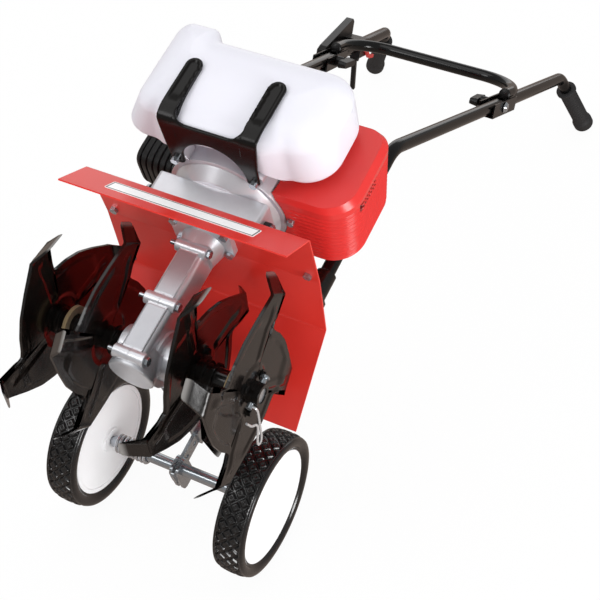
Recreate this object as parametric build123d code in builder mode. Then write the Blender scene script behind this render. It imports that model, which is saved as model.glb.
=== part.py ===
# Garden tiller with a small two-stroke engine, parked on its wheels and handle grips.
# Millimetres. The floor is Z = 0, +Y runs back towards the grips, +X is the tiller's right.
import os
from math import atan2, cos, degrees, hypot, radians, sin, sqrt

from build123d import *

os.makedirs("parts", exist_ok=True)

# Stance of the parked tiller
wheel_radius = 100
wheel_track_half = 128
arm_tilt = 17.9          # the gear case leans this far above the floor
axle_to_middle = 492     # wheel axle, in front of the middle of the whole length
wheel_back = 279         # wheel axle behind the drive shaft
wheel_drop = 48          # wheel axle below the tine shaft

# Drive line
tine_shaft_back = 29     # centre distance of worm and worm wheel
drive_shaft_r = 6
worm_r = 7.2
worm_wheel_r = 21.5
worm_wheel_width = 18
tine_shaft_r = 10
crank_r = 7
running_gap = 0.05

# Gear case
arm_half_width = 18
arm_front = -22
arm_back = 24
case_bottom = -38
case_top = 157
boss_levels = (-29, 48, 127)
boss_r = 8.5
boss_back = -19
boss_half = 21
face_half = 13
face_raise = 2.5
wheel_case_r = 36
wheel_case_half = 22
axle_case_r = 26
axle_case_half = 36

# Tines
tine_stations = {"left_outer": -134, "left_inner": -65, "right_inner": 65, "right_outer": 134}
tine_turns = {"left_outer": 80, "left_inner": 35, "right_inner": 80, "right_outer": 35}
# Which way the tips of the four arms bend: the outer stars' tips all bend inwards, the inner stars' in turn
tine_leans = {"left_outer": (1, 1, 1, 1), "left_inner": (1, -1, 1, -1), "right_inner": (-1, 1, -1, 1),
              "right_outer": (-1, -1, -1, -1)}
tine_thick = 4
tine_fold = 119          # distance from the shaft to the line where each tip is bent
tine_bend = 47           # degrees
tip_length = 30
fold_edges = (-13, 15)   # the ends of the fold line, across the arm
tip_edges = (-27, -2)    # the corners of the tip, across the arm
hub_r = 14.5
hub_start = 38
hub_end = 151
pin_station = 142.5

# Guard
guard_half = 152
guard_thick = 2
guard_profile = ((-113, 110), (-76, 158), (18, 158), (120, 147), (197, 32))
guard_top = 159

# Engine
block_half = 76
block_front = -55
block_back = 45
block_top = 197
fan_bottom = 214
fan_top = 240
fan_r = 80
case_end = 318
cylinder_level = 278
bore_r = 22
tank_lug = (54, -73)

# Handles
tube_r = 10
tube_bore = 8.5
low_bend = (122, 106, 430)
top_bend = (176, 575, 991)
fold_reach = 400         # fold bolt, along the handle from its low bend
grip_heading = (0.31, 0.941, 0.1375)
grip_r = 15.5
grip_flare_r = 18.5
grip_round = 5

# The tiller's own directions: x right, y rearward and z up when the gear case stands upright
tilt = radians(arm_tilt)
rearward = Vector(0, sin(tilt), -cos(tilt))
upward = Vector(0, cos(tilt), sin(tilt))
rightward = Vector(1, 0, 0)
shaft_foot = Vector(0, -axle_to_middle, wheel_radius) - rearward * wheel_back + upward * wheel_drop


def spot(x, y, z):
    return shaft_foot + rightward * x + rearward * y + upward * z


def level(z, x=0, y=0):
    return Plane(spot(x, y, z), x_dir=rightward, z_dir=upward)


def side(x, y=0, z=0):
    return Plane(spot(x, y, z), x_dir=rearward, z_dir=rightward)


def front(y, x=0, z=0):
    return Plane(spot(x, y, z), x_dir=rightward, z_dir=-rearward)


def below(z, x=0, y=0):
    return Plane(spot(x, y, z), x_dir=rightward, z_dir=-upward)


def behind(y, x=0, z=0):
    return Plane(spot(x, y, z), x_dir=rightward, z_dir=rearward)


def left_side(x, y=0, z=0):
    return Plane(spot(x, y, z), x_dir=rearward, z_dir=-rightward)


def keep(piece, name):
    piece.part.label = name
    export_step(piece.part, f"parts/{name}.step")


# A bent tube: straight runs joined by round bends
def tube(points, bend, outer, inner):
    with BuildPart() as pipe:
        with BuildLine() as route:
            FilletPolyline(*points, radius=bend)
        with BuildSketch(Plane(route.line @ 0, z_dir=route.line % 0)):
            Circle(outer)
            Circle(inner, mode=Mode.SUBTRACT)
        sweep(path=route.wire())
    return pipe


# A group of screws: each seat is a plane under the head and the length of its shank
def screws(seats, head_r, head_height, shank_r, sides=6):
    with BuildPart() as group:
        for seat, length in seats:
            with BuildSketch(seat):
                RegularPolygon(head_r, sides)
            extrude(amount=head_height)
            with BuildSketch(seat):
                Circle(shank_r)
            extrude(amount=-length)
    return group


# A group of rings: each seat is a plane, the outer and inner radius and the length along the normal
def rings(seats):
    with BuildPart() as group:
        for seat, outer, inner, length in seats:
            with BuildSketch(seat):
                Circle(outer)
                Circle(inner, mode=Mode.SUBTRACT)
            extrude(amount=length)
    return group


# Gear case: two cast halves that meet at the middle of the tiller
bearing_r = 14
bearing_height = 8
low_bearing = -34
high_bearing = 140
shaft_room = 9
worm_room = 10
wheel_room_r = 24
wheel_room_half = 10
axle_bearing_r = 21
axle_bearing_start = 18
axle_bearing_width = 12
ear_half = 9
ear_end = 96
ear_height = 15
ear_bolts = ((82, -7), (82, 7))
ear_plate_half = 2.5
flange_half = 42
flange_back = 14
flange_height = 8
flange_bolts = ((35, -33), (-35, -33), (35, 7), (-35, 7))
flange_bolt_top = 166
small_bolt_r = 3
arm_corner = 7
foot_back = 8            # the round foot is a little behind the drive shaft
foot_r = 30
foot_height = 30
foot_taper = 6
flange_corner = 10
neck_r = 30
neck_height = 24
neck_taper = 14
ear_corner = 8
ear_slot = 30            # room for the root of the wheel arm
worm_room_height = 55


def gear_case_half(kept):
    with BuildPart() as half:
        with BuildSketch(level(case_bottom, y=(arm_front + arm_back) / 2)):
            RectangleRounded(2 * arm_half_width, arm_back - arm_front, arm_corner)
        extrude(amount=case_top - flange_height - case_bottom)
        with BuildSketch(level(case_bottom, y=foot_back)):
            Circle(foot_r)
        extrude(amount=foot_height, taper=foot_taper)
        with BuildSketch(side(-wheel_case_half, y=tine_shaft_back)):
            Circle(wheel_case_r)
        extrude(amount=2 * wheel_case_half)
        with BuildSketch(side(-axle_case_half, y=tine_shaft_back)):
            Circle(axle_case_r)
        extrude(amount=2 * axle_case_half)
        for height in boss_levels:
            with BuildSketch(side(-boss_half, y=boss_back, z=height)):
                Circle(boss_r)
            extrude(amount=2 * boss_half)
        # Flat strips on the front of the arm, between the bosses
        for low, high in zip(boss_levels[:-1], boss_levels[1:]):
            with BuildSketch(front(arm_front, z=(low + high) / 2)):
                Rectangle(2 * face_half, high - low)
            extrude(amount=face_raise)
        with BuildSketch(level(case_top - flange_height, y=(flange_back - flange_half) / 2)):
            RectangleRounded(2 * flange_half, flange_half + flange_back, flange_corner)
        extrude(amount=flange_height)
        with BuildSketch(level(case_top - flange_height)):
            Circle(neck_r)
        extrude(amount=-neck_height, taper=neck_taper)
        with BuildSketch(side(-ear_half, y=(tine_shaft_back + ear_end) / 2)):
            RectangleRounded(ear_end - tine_shaft_back, 2 * ear_height, ear_corner)
        extrude(amount=2 * ear_half)
        # Rooms for the shaft, the worm, the worm wheel and the bearings
        with BuildSketch(level(case_bottom)):
            Circle(shaft_room)
        extrude(amount=case_top - case_bottom, mode=Mode.SUBTRACT)
        with BuildSketch(level(low_bearing + bearing_height)):
            Circle(worm_room)
        extrude(amount=worm_room_height, mode=Mode.SUBTRACT)
        for foot in (case_bottom, high_bearing):
            depth = low_bearing + bearing_height - case_bottom if foot < 0 else case_top - high_bearing
            with BuildSketch(level(foot)):
                Circle(bearing_r)
            extrude(amount=depth, mode=Mode.SUBTRACT)
        with BuildSketch(side(-wheel_room_half, y=tine_shaft_back)):
            Circle(wheel_room_r)
        extrude(amount=2 * wheel_room_half, mode=Mode.SUBTRACT)
        with BuildSketch(side(-axle_case_half, y=tine_shaft_back)):
            Circle(tine_shaft_r + 1)
        extrude(amount=2 * axle_case_half, mode=Mode.SUBTRACT)
        for start in (axle_bearing_start, -axle_bearing_start - axle_bearing_width):
            with BuildSketch(side(start, y=tine_shaft_back)):
                Circle(axle_bearing_r)
            extrude(amount=axle_bearing_width, mode=Mode.SUBTRACT)
        # Room for the wheel arm between the ears, and the bolt holes
        with BuildSketch(side(-ear_plate_half, y=ear_end)):
            Rectangle(2 * ear_slot, 3 * ear_height)
        extrude(amount=2 * ear_plate_half, mode=Mode.SUBTRACT)
        with BuildSketch(side(-boss_half)):
            with Locations(*[(boss_back, height) for height in boss_levels], *ear_bolts):
                Circle(small_bolt_r)
        extrude(amount=2 * boss_half, mode=Mode.SUBTRACT)
        with BuildSketch(level(case_top - flange_height)):
            with Locations(*flange_bolts):
                Circle(small_bolt_r)
        extrude(amount=flange_height, mode=Mode.SUBTRACT)
        split(bisect_by=side(0), keep=kept)
    return half


gear_case_right = gear_case_half(Keep.TOP)
keep(gear_case_right, "gear_case_right")
gear_case_left = gear_case_half(Keep.BOTTOM)
keep(gear_case_left, "gear_case_left")

end_cap_height = 5
end_cap_chamfer = 1.5
with BuildPart() as gear_case_end_cap:
    with BuildSketch(level(case_bottom, y=foot_back)):
        Circle(foot_r)
    extrude(amount=-end_cap_height)
    chamfer(gear_case_end_cap.faces().sort_by(Axis(shaft_foot, upward))[0].edges(), end_cap_chamfer)
keep(gear_case_end_cap, "gear_case_end_cap")

# Drive shaft with the worm cut on it, and the worm wheel on the tine shaft
shaft_low = -36
shaft_high = 179
worm_half = 20
worm_pitch = 4
worm_groove = 0.4        # share of the pitch
with BuildPart() as drive_shaft:
    with BuildSketch(level(shaft_low)):
        Circle(drive_shaft_r)
    extrude(amount=shaft_high - shaft_low)
    with BuildSketch(level(-worm_half)):
        Circle(worm_r)
    extrude(amount=2 * worm_half)
    for turn in range(int(2 * worm_half / worm_pitch)):
        with BuildSketch(level(-worm_half + worm_pitch * (turn + (1 - worm_groove) / 2))):
            Circle(worm_r)
            Circle(drive_shaft_r, mode=Mode.SUBTRACT)
        extrude(amount=worm_pitch * worm_groove, mode=Mode.SUBTRACT)
keep(drive_shaft, "drive_shaft")

worm_teeth = 34
tooth_gap_r = 0.9
with BuildPart() as worm_wheel:
    with BuildSketch(side(-worm_wheel_width / 2, y=tine_shaft_back)):
        Circle(worm_wheel_r)
        with PolarLocations(worm_wheel_r, worm_teeth):
            Circle(tooth_gap_r, mode=Mode.SUBTRACT)
        Circle(tine_shaft_r, mode=Mode.SUBTRACT)
    extrude(amount=worm_wheel_width)
keep(worm_wheel, "worm_wheel")

# Tine shaft, hub sleeves with their collars, and the tines
pin_r = 4
pin_reach = hub_r + 8
shaft_inset = 2
collar_r = 19
collar_width = 4
with BuildPart() as tine_shaft:
    with BuildSketch(side(shaft_inset - hub_end, y=tine_shaft_back)):
        Circle(tine_shaft_r)
    extrude(amount=2 * (hub_end - shaft_inset))
    with BuildSketch(level(-pin_reach)):
        with Locations((pin_station, tine_shaft_back), (-pin_station, tine_shaft_back)):
            Circle(pin_r)
    extrude(amount=2 * pin_reach, mode=Mode.SUBTRACT)
keep(tine_shaft, "tine_shaft")


def tine_hub(start, end, collars):
    with BuildPart() as hub:
        with BuildSketch(side(min(start, end), y=tine_shaft_back)):
            Circle(hub_r)
        extrude(amount=abs(end - start))
        for collar in collars:
            with BuildSketch(side(collar - collar_width / 2, y=tine_shaft_back)):
                Circle(collar_r)
            extrude(amount=collar_width)
        with BuildSketch(side(min(start, end), y=tine_shaft_back)):
            Circle(tine_shaft_r)
        extrude(amount=abs(end - start), mode=Mode.SUBTRACT)
        with BuildSketch(level(-pin_reach)):
            with Locations((pin_station if end > 0 else -pin_station, tine_shaft_back)):
                Circle(pin_r)
        extrude(amount=2 * pin_reach, mode=Mode.SUBTRACT)
    return hub


hub_collars = (50, 76, 88, 129.8)
hub_right = tine_hub(hub_start, hub_end, hub_collars)
hub_left = tine_hub(-hub_start, -hub_end, [-collar for collar in hub_collars])
with BuildPart() as tine_hubs:
    add(hub_right.part)
    add(hub_left.part)
keep(tine_hubs, "tine_hubs")

felt_station = 110
felt_width = 5
felt_r = 24
felt_washers = rings([(side(x, y=tine_shaft_back), felt_r, hub_r, felt_width)
                      for x in (felt_station, -felt_station - felt_width)])
keep(felt_washers, "felt_washers")

# Clevis pins cross the hubs and the shaft, and a spring clip holds each
pin_half = 21
pin_head_r = 6
pin_head = 3
clip_wire_r = 1.5
clip_hole_r = 1.6
clip_level = -17
clip_inner = 3
clip_outer = 9
clip_bend = 4
clip_route = ((0, 0), (12, 0), (22, -9), (66, -12))  # behind the pin and above its hole
with BuildPart() as clevis_pins:
    with BuildSketch(level(-pin_half)):
        with Locations((pin_station, tine_shaft_back), (-pin_station, tine_shaft_back)):
            Circle(pin_r)
    extrude(amount=2 * pin_half)
    with BuildSketch(level(pin_half)):
        with Locations((pin_station, tine_shaft_back), (-pin_station, tine_shaft_back)):
            Circle(pin_head_r)
    extrude(amount=pin_head)
    with BuildSketch(side(-hub_end, y=tine_shaft_back, z=clip_level)):
        Circle(clip_hole_r)
    extrude(amount=2 * hub_end, mode=Mode.SUBTRACT)
keep(clevis_pins, "clevis_pins")

with BuildPart() as spring_clips:
    for hand in (1, -1):
        wire_start = spot(hand * (pin_station - clip_inner), tine_shaft_back, clip_level)
        wire_run = [spot(hand * (pin_station + clip_outer), tine_shaft_back + y, clip_level + z)
                    for y, z in clip_route]
        with BuildLine() as wire_route:
            FilletPolyline(wire_start, *wire_run, radius=clip_bend)
        with BuildSketch(Plane(wire_route.line @ 0, z_dir=wire_route.line % 0)):
            Circle(clip_wire_r)
        sweep(path=wire_route.wire())
keep(spring_clips, "spring_clips")

# Back edge of each tine arm, up to the next arm: degrees round the shaft and radius
tine_profile = ((24, 98), (42, 87), (60, 80), (74, 77), (80.5, 79))


def polar(angle, radius):
    return (radius * cos(radians(angle)), radius * sin(radians(angle)))


# A tine star: four swept arms with bent, slanted tips
def tine(station, start_angle, leans):
    quarters = [start_angle + 90 * quarter for quarter in range(4)]
    lead, trail = [(degrees(atan2(across, tine_fold)), hypot(across, tine_fold)) for across in fold_edges]
    arm_edge = (lead, trail) + tine_profile
    outline = [polar(turn + angle, radius) for turn in quarters for angle, radius in arm_edge]
    with BuildPart() as star:
        with BuildSketch(side(station - tine_thick / 2, y=tine_shaft_back)):
            Polygon(*outline, align=None)
            Circle(hub_r, mode=Mode.SUBTRACT)
        extrude(amount=tine_thick)
        for turn, lean in zip(quarters, leans):
            outward = rearward * cos(radians(turn)) + upward * sin(radians(turn))
            across = upward * cos(radians(turn)) - rearward * sin(radians(turn))
            along = outward * cos(radians(tine_bend)) + rightward * lean * sin(radians(tine_bend))
            fold_middle = spot(station, tine_shaft_back, 0) + outward * tine_fold
            with BuildSketch(Plane(fold_middle, x_dir=along, z_dir=along.cross(across))):
                Polygon((0, fold_edges[0]), (tip_length, tip_edges[0]), (tip_length, tip_edges[1]),
                        (0, fold_edges[1]), align=None)
            extrude(amount=tine_thick / 2, both=True)
            with BuildSketch(Plane(fold_middle + across * fold_edges[0], z_dir=across)):
                Circle(tine_thick / 2)
            extrude(amount=fold_edges[1] - fold_edges[0])
    return star


for name, station in tine_stations.items():
    star = tine(station, tine_turns[name], tine_leans[name])
    keep(star, f"tine_{name}")

# Guard: one bent sheet over the tines
guard_bolt_spots = ((138, 8), (-138, 8))
guard_bend = 6
with BuildPart() as guard:
    with BuildSketch(side(-guard_half)):
        with BuildLine():
            FilletPolyline(*guard_profile, radius=guard_bend)
        trace(line_width=guard_thick)
    extrude(amount=2 * guard_half)
    with BuildSketch(level(guard_top + guard_thick)):
        Circle(bearing_r)
        with Locations(*flange_bolts, *guard_bolt_spots):
            Circle(small_bolt_r)
    extrude(amount=-3 * guard_thick, mode=Mode.SUBTRACT)
keep(guard, "guard")

# The plain white strip on the guard's front flange
strip_half = 100
strip_height = 23
strip_thick = 0.6
strip_corner = 2
flange_low = Vector(*guard_profile[0])
flange_high = Vector(*guard_profile[1])
flange_rise = (flange_high - flange_low).normalized()
flange_out = Vector(-flange_rise.Y, flange_rise.X)
strip_middle = (flange_low + flange_high) / 2 + flange_out * (guard_thick / 2)
strip_plane = Plane(spot(0, strip_middle.X, strip_middle.Y), x_dir=rightward,
                    z_dir=rearward * flange_out.X + upward * flange_out.Y)
with BuildPart() as label_strip:
    with BuildSketch(strip_plane):
        RectangleRounded(2 * strip_half, strip_height, strip_corner)
    extrude(amount=strip_thick)
keep(label_strip, "label_strip")

# Clutch housing: a square block on the guard, with a dome that carries the engine
block_corner = 6
clutch_room_r = 42
clutch_floor = 168
bush_level = 178
bush_back = -35
bush_r = 7
bush_length = 8
bush_bolt_depth = 16
dome_low_r = 62
dome_high_r = 74
base_bolt_x = 48
base_bolt_levels = (168, 189)
base_bolt_depth = 12
bush_faces = (side(block_half, y=bush_back, z=bush_level), left_side(-block_half, y=bush_back, z=bush_level))
with BuildPart() as clutch_housing:
    with BuildSketch(level(guard_top, y=(block_front + block_back) / 2)):
        RectangleRounded(2 * block_half, block_back - block_front, block_corner)
    extrude(amount=block_top - guard_top)
    with BuildSketch(level(block_top)):
        Circle(dome_low_r)
    with BuildSketch(level(fan_bottom)):
        Circle(dome_high_r)
    loft()
    with BuildSketch(level(clutch_floor)):
        Circle(clutch_room_r)
    extrude(amount=fan_bottom - clutch_floor, mode=Mode.SUBTRACT)
    with BuildSketch(level(guard_top)):
        Circle(shaft_room)
    extrude(amount=clutch_floor - guard_top, mode=Mode.SUBTRACT)
    with BuildSketch(level(guard_top)):
        with Locations(*flange_bolts):
            Circle(small_bolt_r)
    extrude(amount=flange_bolt_top - guard_top, mode=Mode.SUBTRACT)
    for seat in bush_faces:
        with BuildSketch(seat):
            Circle(small_bolt_r)
        extrude(amount=-bush_bolt_depth, mode=Mode.SUBTRACT)
    with BuildSketch(front(block_back)):
        with Locations(*[(x, z) for x in (base_bolt_x, -base_bolt_x) for z in base_bolt_levels]):
            Circle(small_bolt_r)
    extrude(amount=base_bolt_depth, mode=Mode.SUBTRACT)
keep(clutch_housing, "clutch_housing")

rubber_bushes = rings([(face, bush_r, small_bolt_r, bush_length) for face in bush_faces])
keep(rubber_bushes, "rubber_bushes")

# Clutch drum on the drive shaft, and the shoes that the crankshaft throws against it
drum_floor = 176
drum_height = 23
drum_r = 39
drum_wall = 2.5
drum_web = 3
with BuildPart() as clutch_drum:
    with BuildSketch(level(drum_floor)):
        Circle(drum_r)
    extrude(amount=drum_height)
    with BuildSketch(level(drum_floor + drum_web)):
        Circle(drum_r - drum_wall)
    extrude(amount=drum_height, mode=Mode.SUBTRACT)
    with BuildSketch(level(drum_floor)):
        Circle(drive_shaft_r)
    extrude(amount=drum_web, mode=Mode.SUBTRACT)
keep(clutch_drum, "clutch_drum")

shoe_low = 182
shoe_height = 15
shoe_r = 34
shoe_hub_r = 15
shoe_split = 6
shoe_spring_x = 26
shoe_spring_r = 5
with BuildPart() as clutch_shoes:
    with BuildSketch(level(shoe_low)):
        Circle(shoe_r)
        Circle(shoe_hub_r, mode=Mode.SUBTRACT)
        Rectangle(2 * drum_r, shoe_split, mode=Mode.SUBTRACT)
        with Locations((shoe_spring_x, 0), (-shoe_spring_x, 0)):
            Circle(shoe_spring_r, mode=Mode.SUBTRACT)
    extrude(amount=shoe_height)
keep(clutch_shoes, "clutch_shoes")

crank_web_r = 29
crank_throw = 16
crank_web = 9
crank_pin_r = 6
crank_end = 337
with BuildPart() as crankshaft:
    with BuildSketch(level(shoe_low)):
        Circle(crank_r)
    extrude(amount=cylinder_level - crank_web - shoe_low)
    with BuildSketch(level(shoe_low)):
        Circle(shoe_hub_r)
    extrude(amount=shoe_height)
    for web_low in (cylinder_level - 2 * crank_web, cylinder_level + crank_web):
        with BuildSketch(level(web_low)):
            Circle(crank_web_r)
        extrude(amount=crank_web)
    with BuildSketch(level(cylinder_level - 2 * crank_web)):
        with Locations((0, -crank_throw)):
            Circle(crank_pin_r)
    extrude(amount=4 * crank_web)
    with BuildSketch(level(cylinder_level + crank_web)):
        Circle(crank_r)
    extrude(amount=crank_end - cylinder_level - crank_web)
keep(crankshaft, "crankshaft")

flywheel_r = 62
flywheel_low = fan_bottom + 5
flywheel_thick = 8
fan_blades = 16
blade_ring = 47
blade_length = 26
blade_thick = 2.4
blade_turn = 25
blade_height = 8
with BuildPart() as flywheel:
    with BuildSketch(level(flywheel_low)):
        Circle(flywheel_r)
        Circle(crank_r, mode=Mode.SUBTRACT)
    extrude(amount=flywheel_thick)
    with BuildSketch(level(flywheel_low + flywheel_thick)):
        with PolarLocations(blade_ring, fan_blades):
            Rectangle(blade_length, blade_thick, rotation=blade_turn)
    extrude(amount=blade_height)
keep(flywheel, "flywheel")

# Fan housing with the two lugs of the tank bracket
lug_r = 9
lug_root = 0.85          # share of the way out to the lug's screw where the lug begins
lug_height = 20
lug_hole = 16
fan_sheet = 2
fan_wall = 8
fan_hub_r = 18
with BuildPart() as fan_housing:
    with BuildSketch(level(fan_bottom)):
        Circle(fan_r)
    extrude(amount=fan_top - fan_bottom)
    with BuildSketch(level(fan_bottom)):
        for x in (tank_lug[0], -tank_lug[0]):
            SlotCenterPoint((x * lug_root, tank_lug[1] * lug_root), (x, tank_lug[1]), 2 * lug_r)
    extrude(amount=lug_height)
    with BuildSketch(level(fan_bottom)):
        Circle(clutch_room_r)
    extrude(amount=fan_sheet, mode=Mode.SUBTRACT)
    with BuildSketch(level(fan_bottom + fan_sheet)):
        Circle(fan_r - fan_wall)
    extrude(amount=fan_top - fan_bottom - 2 * fan_sheet, mode=Mode.SUBTRACT)
    with BuildSketch(level(fan_top - fan_sheet)):
        Circle(fan_hub_r)
    extrude(amount=fan_sheet, mode=Mode.SUBTRACT)
    with BuildSketch(level(fan_bottom)):
        with Locations(tank_lug, (-tank_lug[0], tank_lug[1])):
            Circle(small_bolt_r)
    extrude(amount=lug_hole, mode=Mode.SUBTRACT)
keep(fan_housing, "fan_housing")

# Crankcase, bearings and cylinder
crankcase_r = 46
crank_room_r = 34
crank_room_low = cylinder_level - 24
crank_room_high = cylinder_level + 24
crank_bearing_r = 16
deck = 50
deck_width = 76
deck_height = 64
deck_corner = 8
skirt_gap = 1
with BuildPart() as crankcase:
    with BuildSketch(level(fan_top)):
        Circle(crankcase_r)
    extrude(amount=case_end - fan_top)
    with BuildSketch(front(deck, z=cylinder_level)):
        RectangleRounded(deck_width, deck_height, deck_corner)
    extrude(amount=deck)
    with BuildSketch(level(crank_room_low)):
        Circle(crank_room_r)
    extrude(amount=crank_room_high - crank_room_low, mode=Mode.SUBTRACT)
    with BuildSketch(level(fan_top)):
        Circle(crank_bearing_r)
    extrude(amount=crank_room_low - fan_top, mode=Mode.SUBTRACT)
    with BuildSketch(level(crank_room_high)):
        Circle(crank_bearing_r)
    extrude(amount=case_end - crank_room_high, mode=Mode.SUBTRACT)
    with BuildSketch(front(deck, z=cylinder_level)):
        Circle(bore_r + skirt_gap)
    extrude(amount=deck, mode=Mode.SUBTRACT)
keep(crankcase, "crankcase")

crank_bearing_height = 10
bearings = rings([
    (level(low_bearing), bearing_r, drive_shaft_r + running_gap, bearing_height),
    (level(high_bearing), bearing_r, drive_shaft_r + running_gap, bearing_height),
    (side(axle_bearing_start, y=tine_shaft_back), axle_bearing_r, tine_shaft_r + running_gap,
     axle_bearing_width),
    (left_side(-axle_bearing_start, y=tine_shaft_back), axle_bearing_r, tine_shaft_r + running_gap,
     axle_bearing_width),
    (below(crank_room_low), crank_bearing_r, crank_r + running_gap, crank_bearing_height),
    (level(crank_room_high), crank_bearing_r, crank_r + running_gap, crank_bearing_height),
])
keep(bearings, "bearings")

head_face = 132
fin_pitch = 9
fin_count = 8
fin_half = 42
fin_height = 76
fin_corner = 10
fin_thick = 2.4
fin_start = 12
barrel_r = 30
flange_width = 72
flange_depth = 62
flange_thick = 6
bore_depth = 64
plug_r = 6
plug_hole = 20
with BuildPart() as cylinder:
    with BuildSketch(front(deck, z=cylinder_level)):
        Circle(barrel_r)
    extrude(amount=deck - head_face)
    with BuildSketch(front(deck, z=cylinder_level)):
        RectangleRounded(flange_width, flange_depth, deck_corner)
    extrude(amount=-flange_thick)
    for fin in range(fin_count):
        with BuildSketch(front(deck + fin_start + fin_pitch * fin, z=cylinder_level)):
            RectangleRounded(2 * fin_half, fin_height, fin_corner)
        extrude(amount=-fin_thick)
    with BuildSketch(front(deck, z=cylinder_level)):
        Circle(bore_r + running_gap)
    extrude(amount=-bore_depth, mode=Mode.SUBTRACT)
    with BuildSketch(front(head_face, z=cylinder_level)):
        Circle(plug_r)
    extrude(amount=plug_hole, mode=Mode.SUBTRACT)
keep(cylinder, "cylinder")

# Spark plug cap over the plug's hexagon
plug_thread = 12
plug_hex_r = 10
plug_hex = 10
plug_boot_r = 10
plug_boot = 30
boot_round = 4
lead_back = 31
lead_r = 6
lead_length = 20
with BuildPart() as plug_cap:
    with BuildSketch(front(head_face, z=cylinder_level)):
        Circle(plug_r)
    extrude(amount=plug_thread)
    with BuildSketch(front(head_face, z=cylinder_level)):
        RegularPolygon(plug_hex_r, 6)
    extrude(amount=-plug_hex)
    with BuildSketch(front(head_face + plug_hex, z=cylinder_level)):
        Circle(plug_boot_r)
    extrude(amount=-plug_boot)
    fillet(plug_cap.faces().sort_by(Axis(shaft_foot, rearward))[-1].edges(), boot_round)
    with BuildSketch(level(cylinder_level, y=head_face + lead_back)):
        Circle(lead_r)
    extrude(amount=lead_length)
keep(plug_cap, "spark_plug_cap")

# Intake at the left: carburettor, filter base, choke lever and filter cover
intake_back = 60
carb_near = -42
carb_far = -84
carb_length = 30
carb_width = 34
carb_height = 40
carb_corner = 5
intake_width = 46
intake_height = 34
intake_corner = 8
slide_r = 10
slide_height = 16
with BuildPart() as carburettor:
    with BuildSketch(side(carb_far, y=intake_back, z=cylinder_level)):
        RectangleRounded(carb_width, carb_height, carb_corner)
    extrude(amount=carb_length)
    with BuildSketch(side(carb_far + carb_length, y=intake_back, z=cylinder_level)):
        RectangleRounded(intake_width, intake_height, intake_corner)
    extrude(amount=carb_near - carb_far - carb_length)
    with BuildSketch(level(cylinder_level + carb_height / 2, x=carb_far + carb_length / 2, y=intake_back)):
        Circle(slide_r)
    extrude(amount=slide_height)
keep(carburettor, "carburettor")

filter_back = 42
filter_level = 276
filter_lip = 14
filter_depth = 62
filter_width = 80
filter_height = 92
filter_corner = 22
filter_face_width = 62
filter_face_height = 72
filter_face_corner = 20
with BuildPart() as air_filter:
    with BuildSketch(side(carb_far - filter_lip, y=filter_back, z=filter_level)):
        RectangleRounded(filter_width, filter_height, filter_corner)
    extrude(amount=filter_lip)
    with BuildSketch(side(carb_far - filter_lip, y=filter_back, z=filter_level)):
        RectangleRounded(filter_width, filter_height, filter_corner)
    with BuildSketch(side(carb_far - filter_lip - filter_depth, y=filter_back, z=filter_level)):
        RectangleRounded(filter_face_width, filter_face_height, filter_face_corner)
    loft()
keep(air_filter, "air_filter")

choke_x = carb_far - filter_lip / 2
choke_low = filter_level + filter_height / 2 + 0.3
choke_length = 24
choke_width = 10
choke_thick = 3
choke_pivot_r = 3.5
choke_pivot = 2
choke_peg_r = 4
choke_peg = 9
with BuildPart() as choke_lever:
    with BuildSketch(level(choke_low, x=choke_x, y=filter_back)):
        SlotCenterPoint((0, choke_length / 2), (0, choke_length), choke_width)
    extrude(amount=choke_thick)
    with BuildSketch(level(choke_low + choke_thick, x=choke_x, y=filter_back)):
        Circle(choke_pivot_r)
    extrude(amount=choke_pivot)
    with BuildSketch(level(choke_low + choke_thick, x=choke_x, y=filter_back + choke_length)):
        Circle(choke_peg_r)
    extrude(amount=choke_peg)
keep(choke_lever, "choke_lever")

# Muffler and the red engine cover at the right
muffler_back = 41
muffler_near = 58
muffler_level = 284
muffler_width = 50
muffler_height = 78
muffler_corner = 12
muffler_length = 76
port_width = 14
port_height = 30
with BuildPart() as muffler:
    with BuildSketch(side(muffler_near, y=muffler_back, z=muffler_level)):
        RectangleRounded(muffler_width, muffler_height, muffler_corner)
    extrude(amount=muffler_length)
    with BuildSketch(side(muffler_near, y=deck + fin_start, z=cylinder_level)):
        Rectangle(port_width, port_height)
    extrude(amount=fin_half - muffler_near)
keep(muffler, "muffler")

cover_near = 62
cover_far = 171
cover_low = 216
cover_high = 352
cover_front = -46
cover_shoulder = -37     # the front face is a little smaller, with a slanted edge round it
cover_back = 80
cover_wall = 2.5
cover_edge = 7
cover_shrink = 9         # how much smaller the back is, at the outer side and the top
cover_low_round = 42
cover_high_round = 26
cover_back_round = 14
cover_fan_gap = 1
cover_floor = 10
cover_screw = (88, 0)
groove_count = 8
groove_pitch = 13
groove_start = -28
groove_width = 4
groove_depth = 1.4
cover_hidden = 40        # length of the closed form on the engine's side, cut off again at cover_near


# The cover's outline at one distance behind its front, made smaller all round by an inset
def cover_outline(y, inset, mode=Mode.ADD):
    edge = cover_edge * max(0, (cover_shoulder - y) / (cover_shoulder - cover_front))
    shrink = cover_shrink * max(0, (y - cover_shoulder) / (cover_back - cover_shoulder))
    left = cover_near - cover_hidden
    right = cover_far - edge - shrink - inset
    low = cover_low + edge / 2 + inset
    high = cover_high - edge / 2 - shrink - inset
    with BuildLine() as rim:
        Polyline((right - cover_low_round, low), (left, low), (left, high), (right - cover_high_round, high))
        RadiusArc((right - cover_high_round, high), (right, high - cover_high_round), cover_high_round)
        Line((right, high - cover_high_round), (right, low + cover_low_round))
        RadiusArc((right, low + cover_low_round), (right - cover_low_round, low), cover_low_round)
    make_face(rim.edges(), mode=mode)


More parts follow.
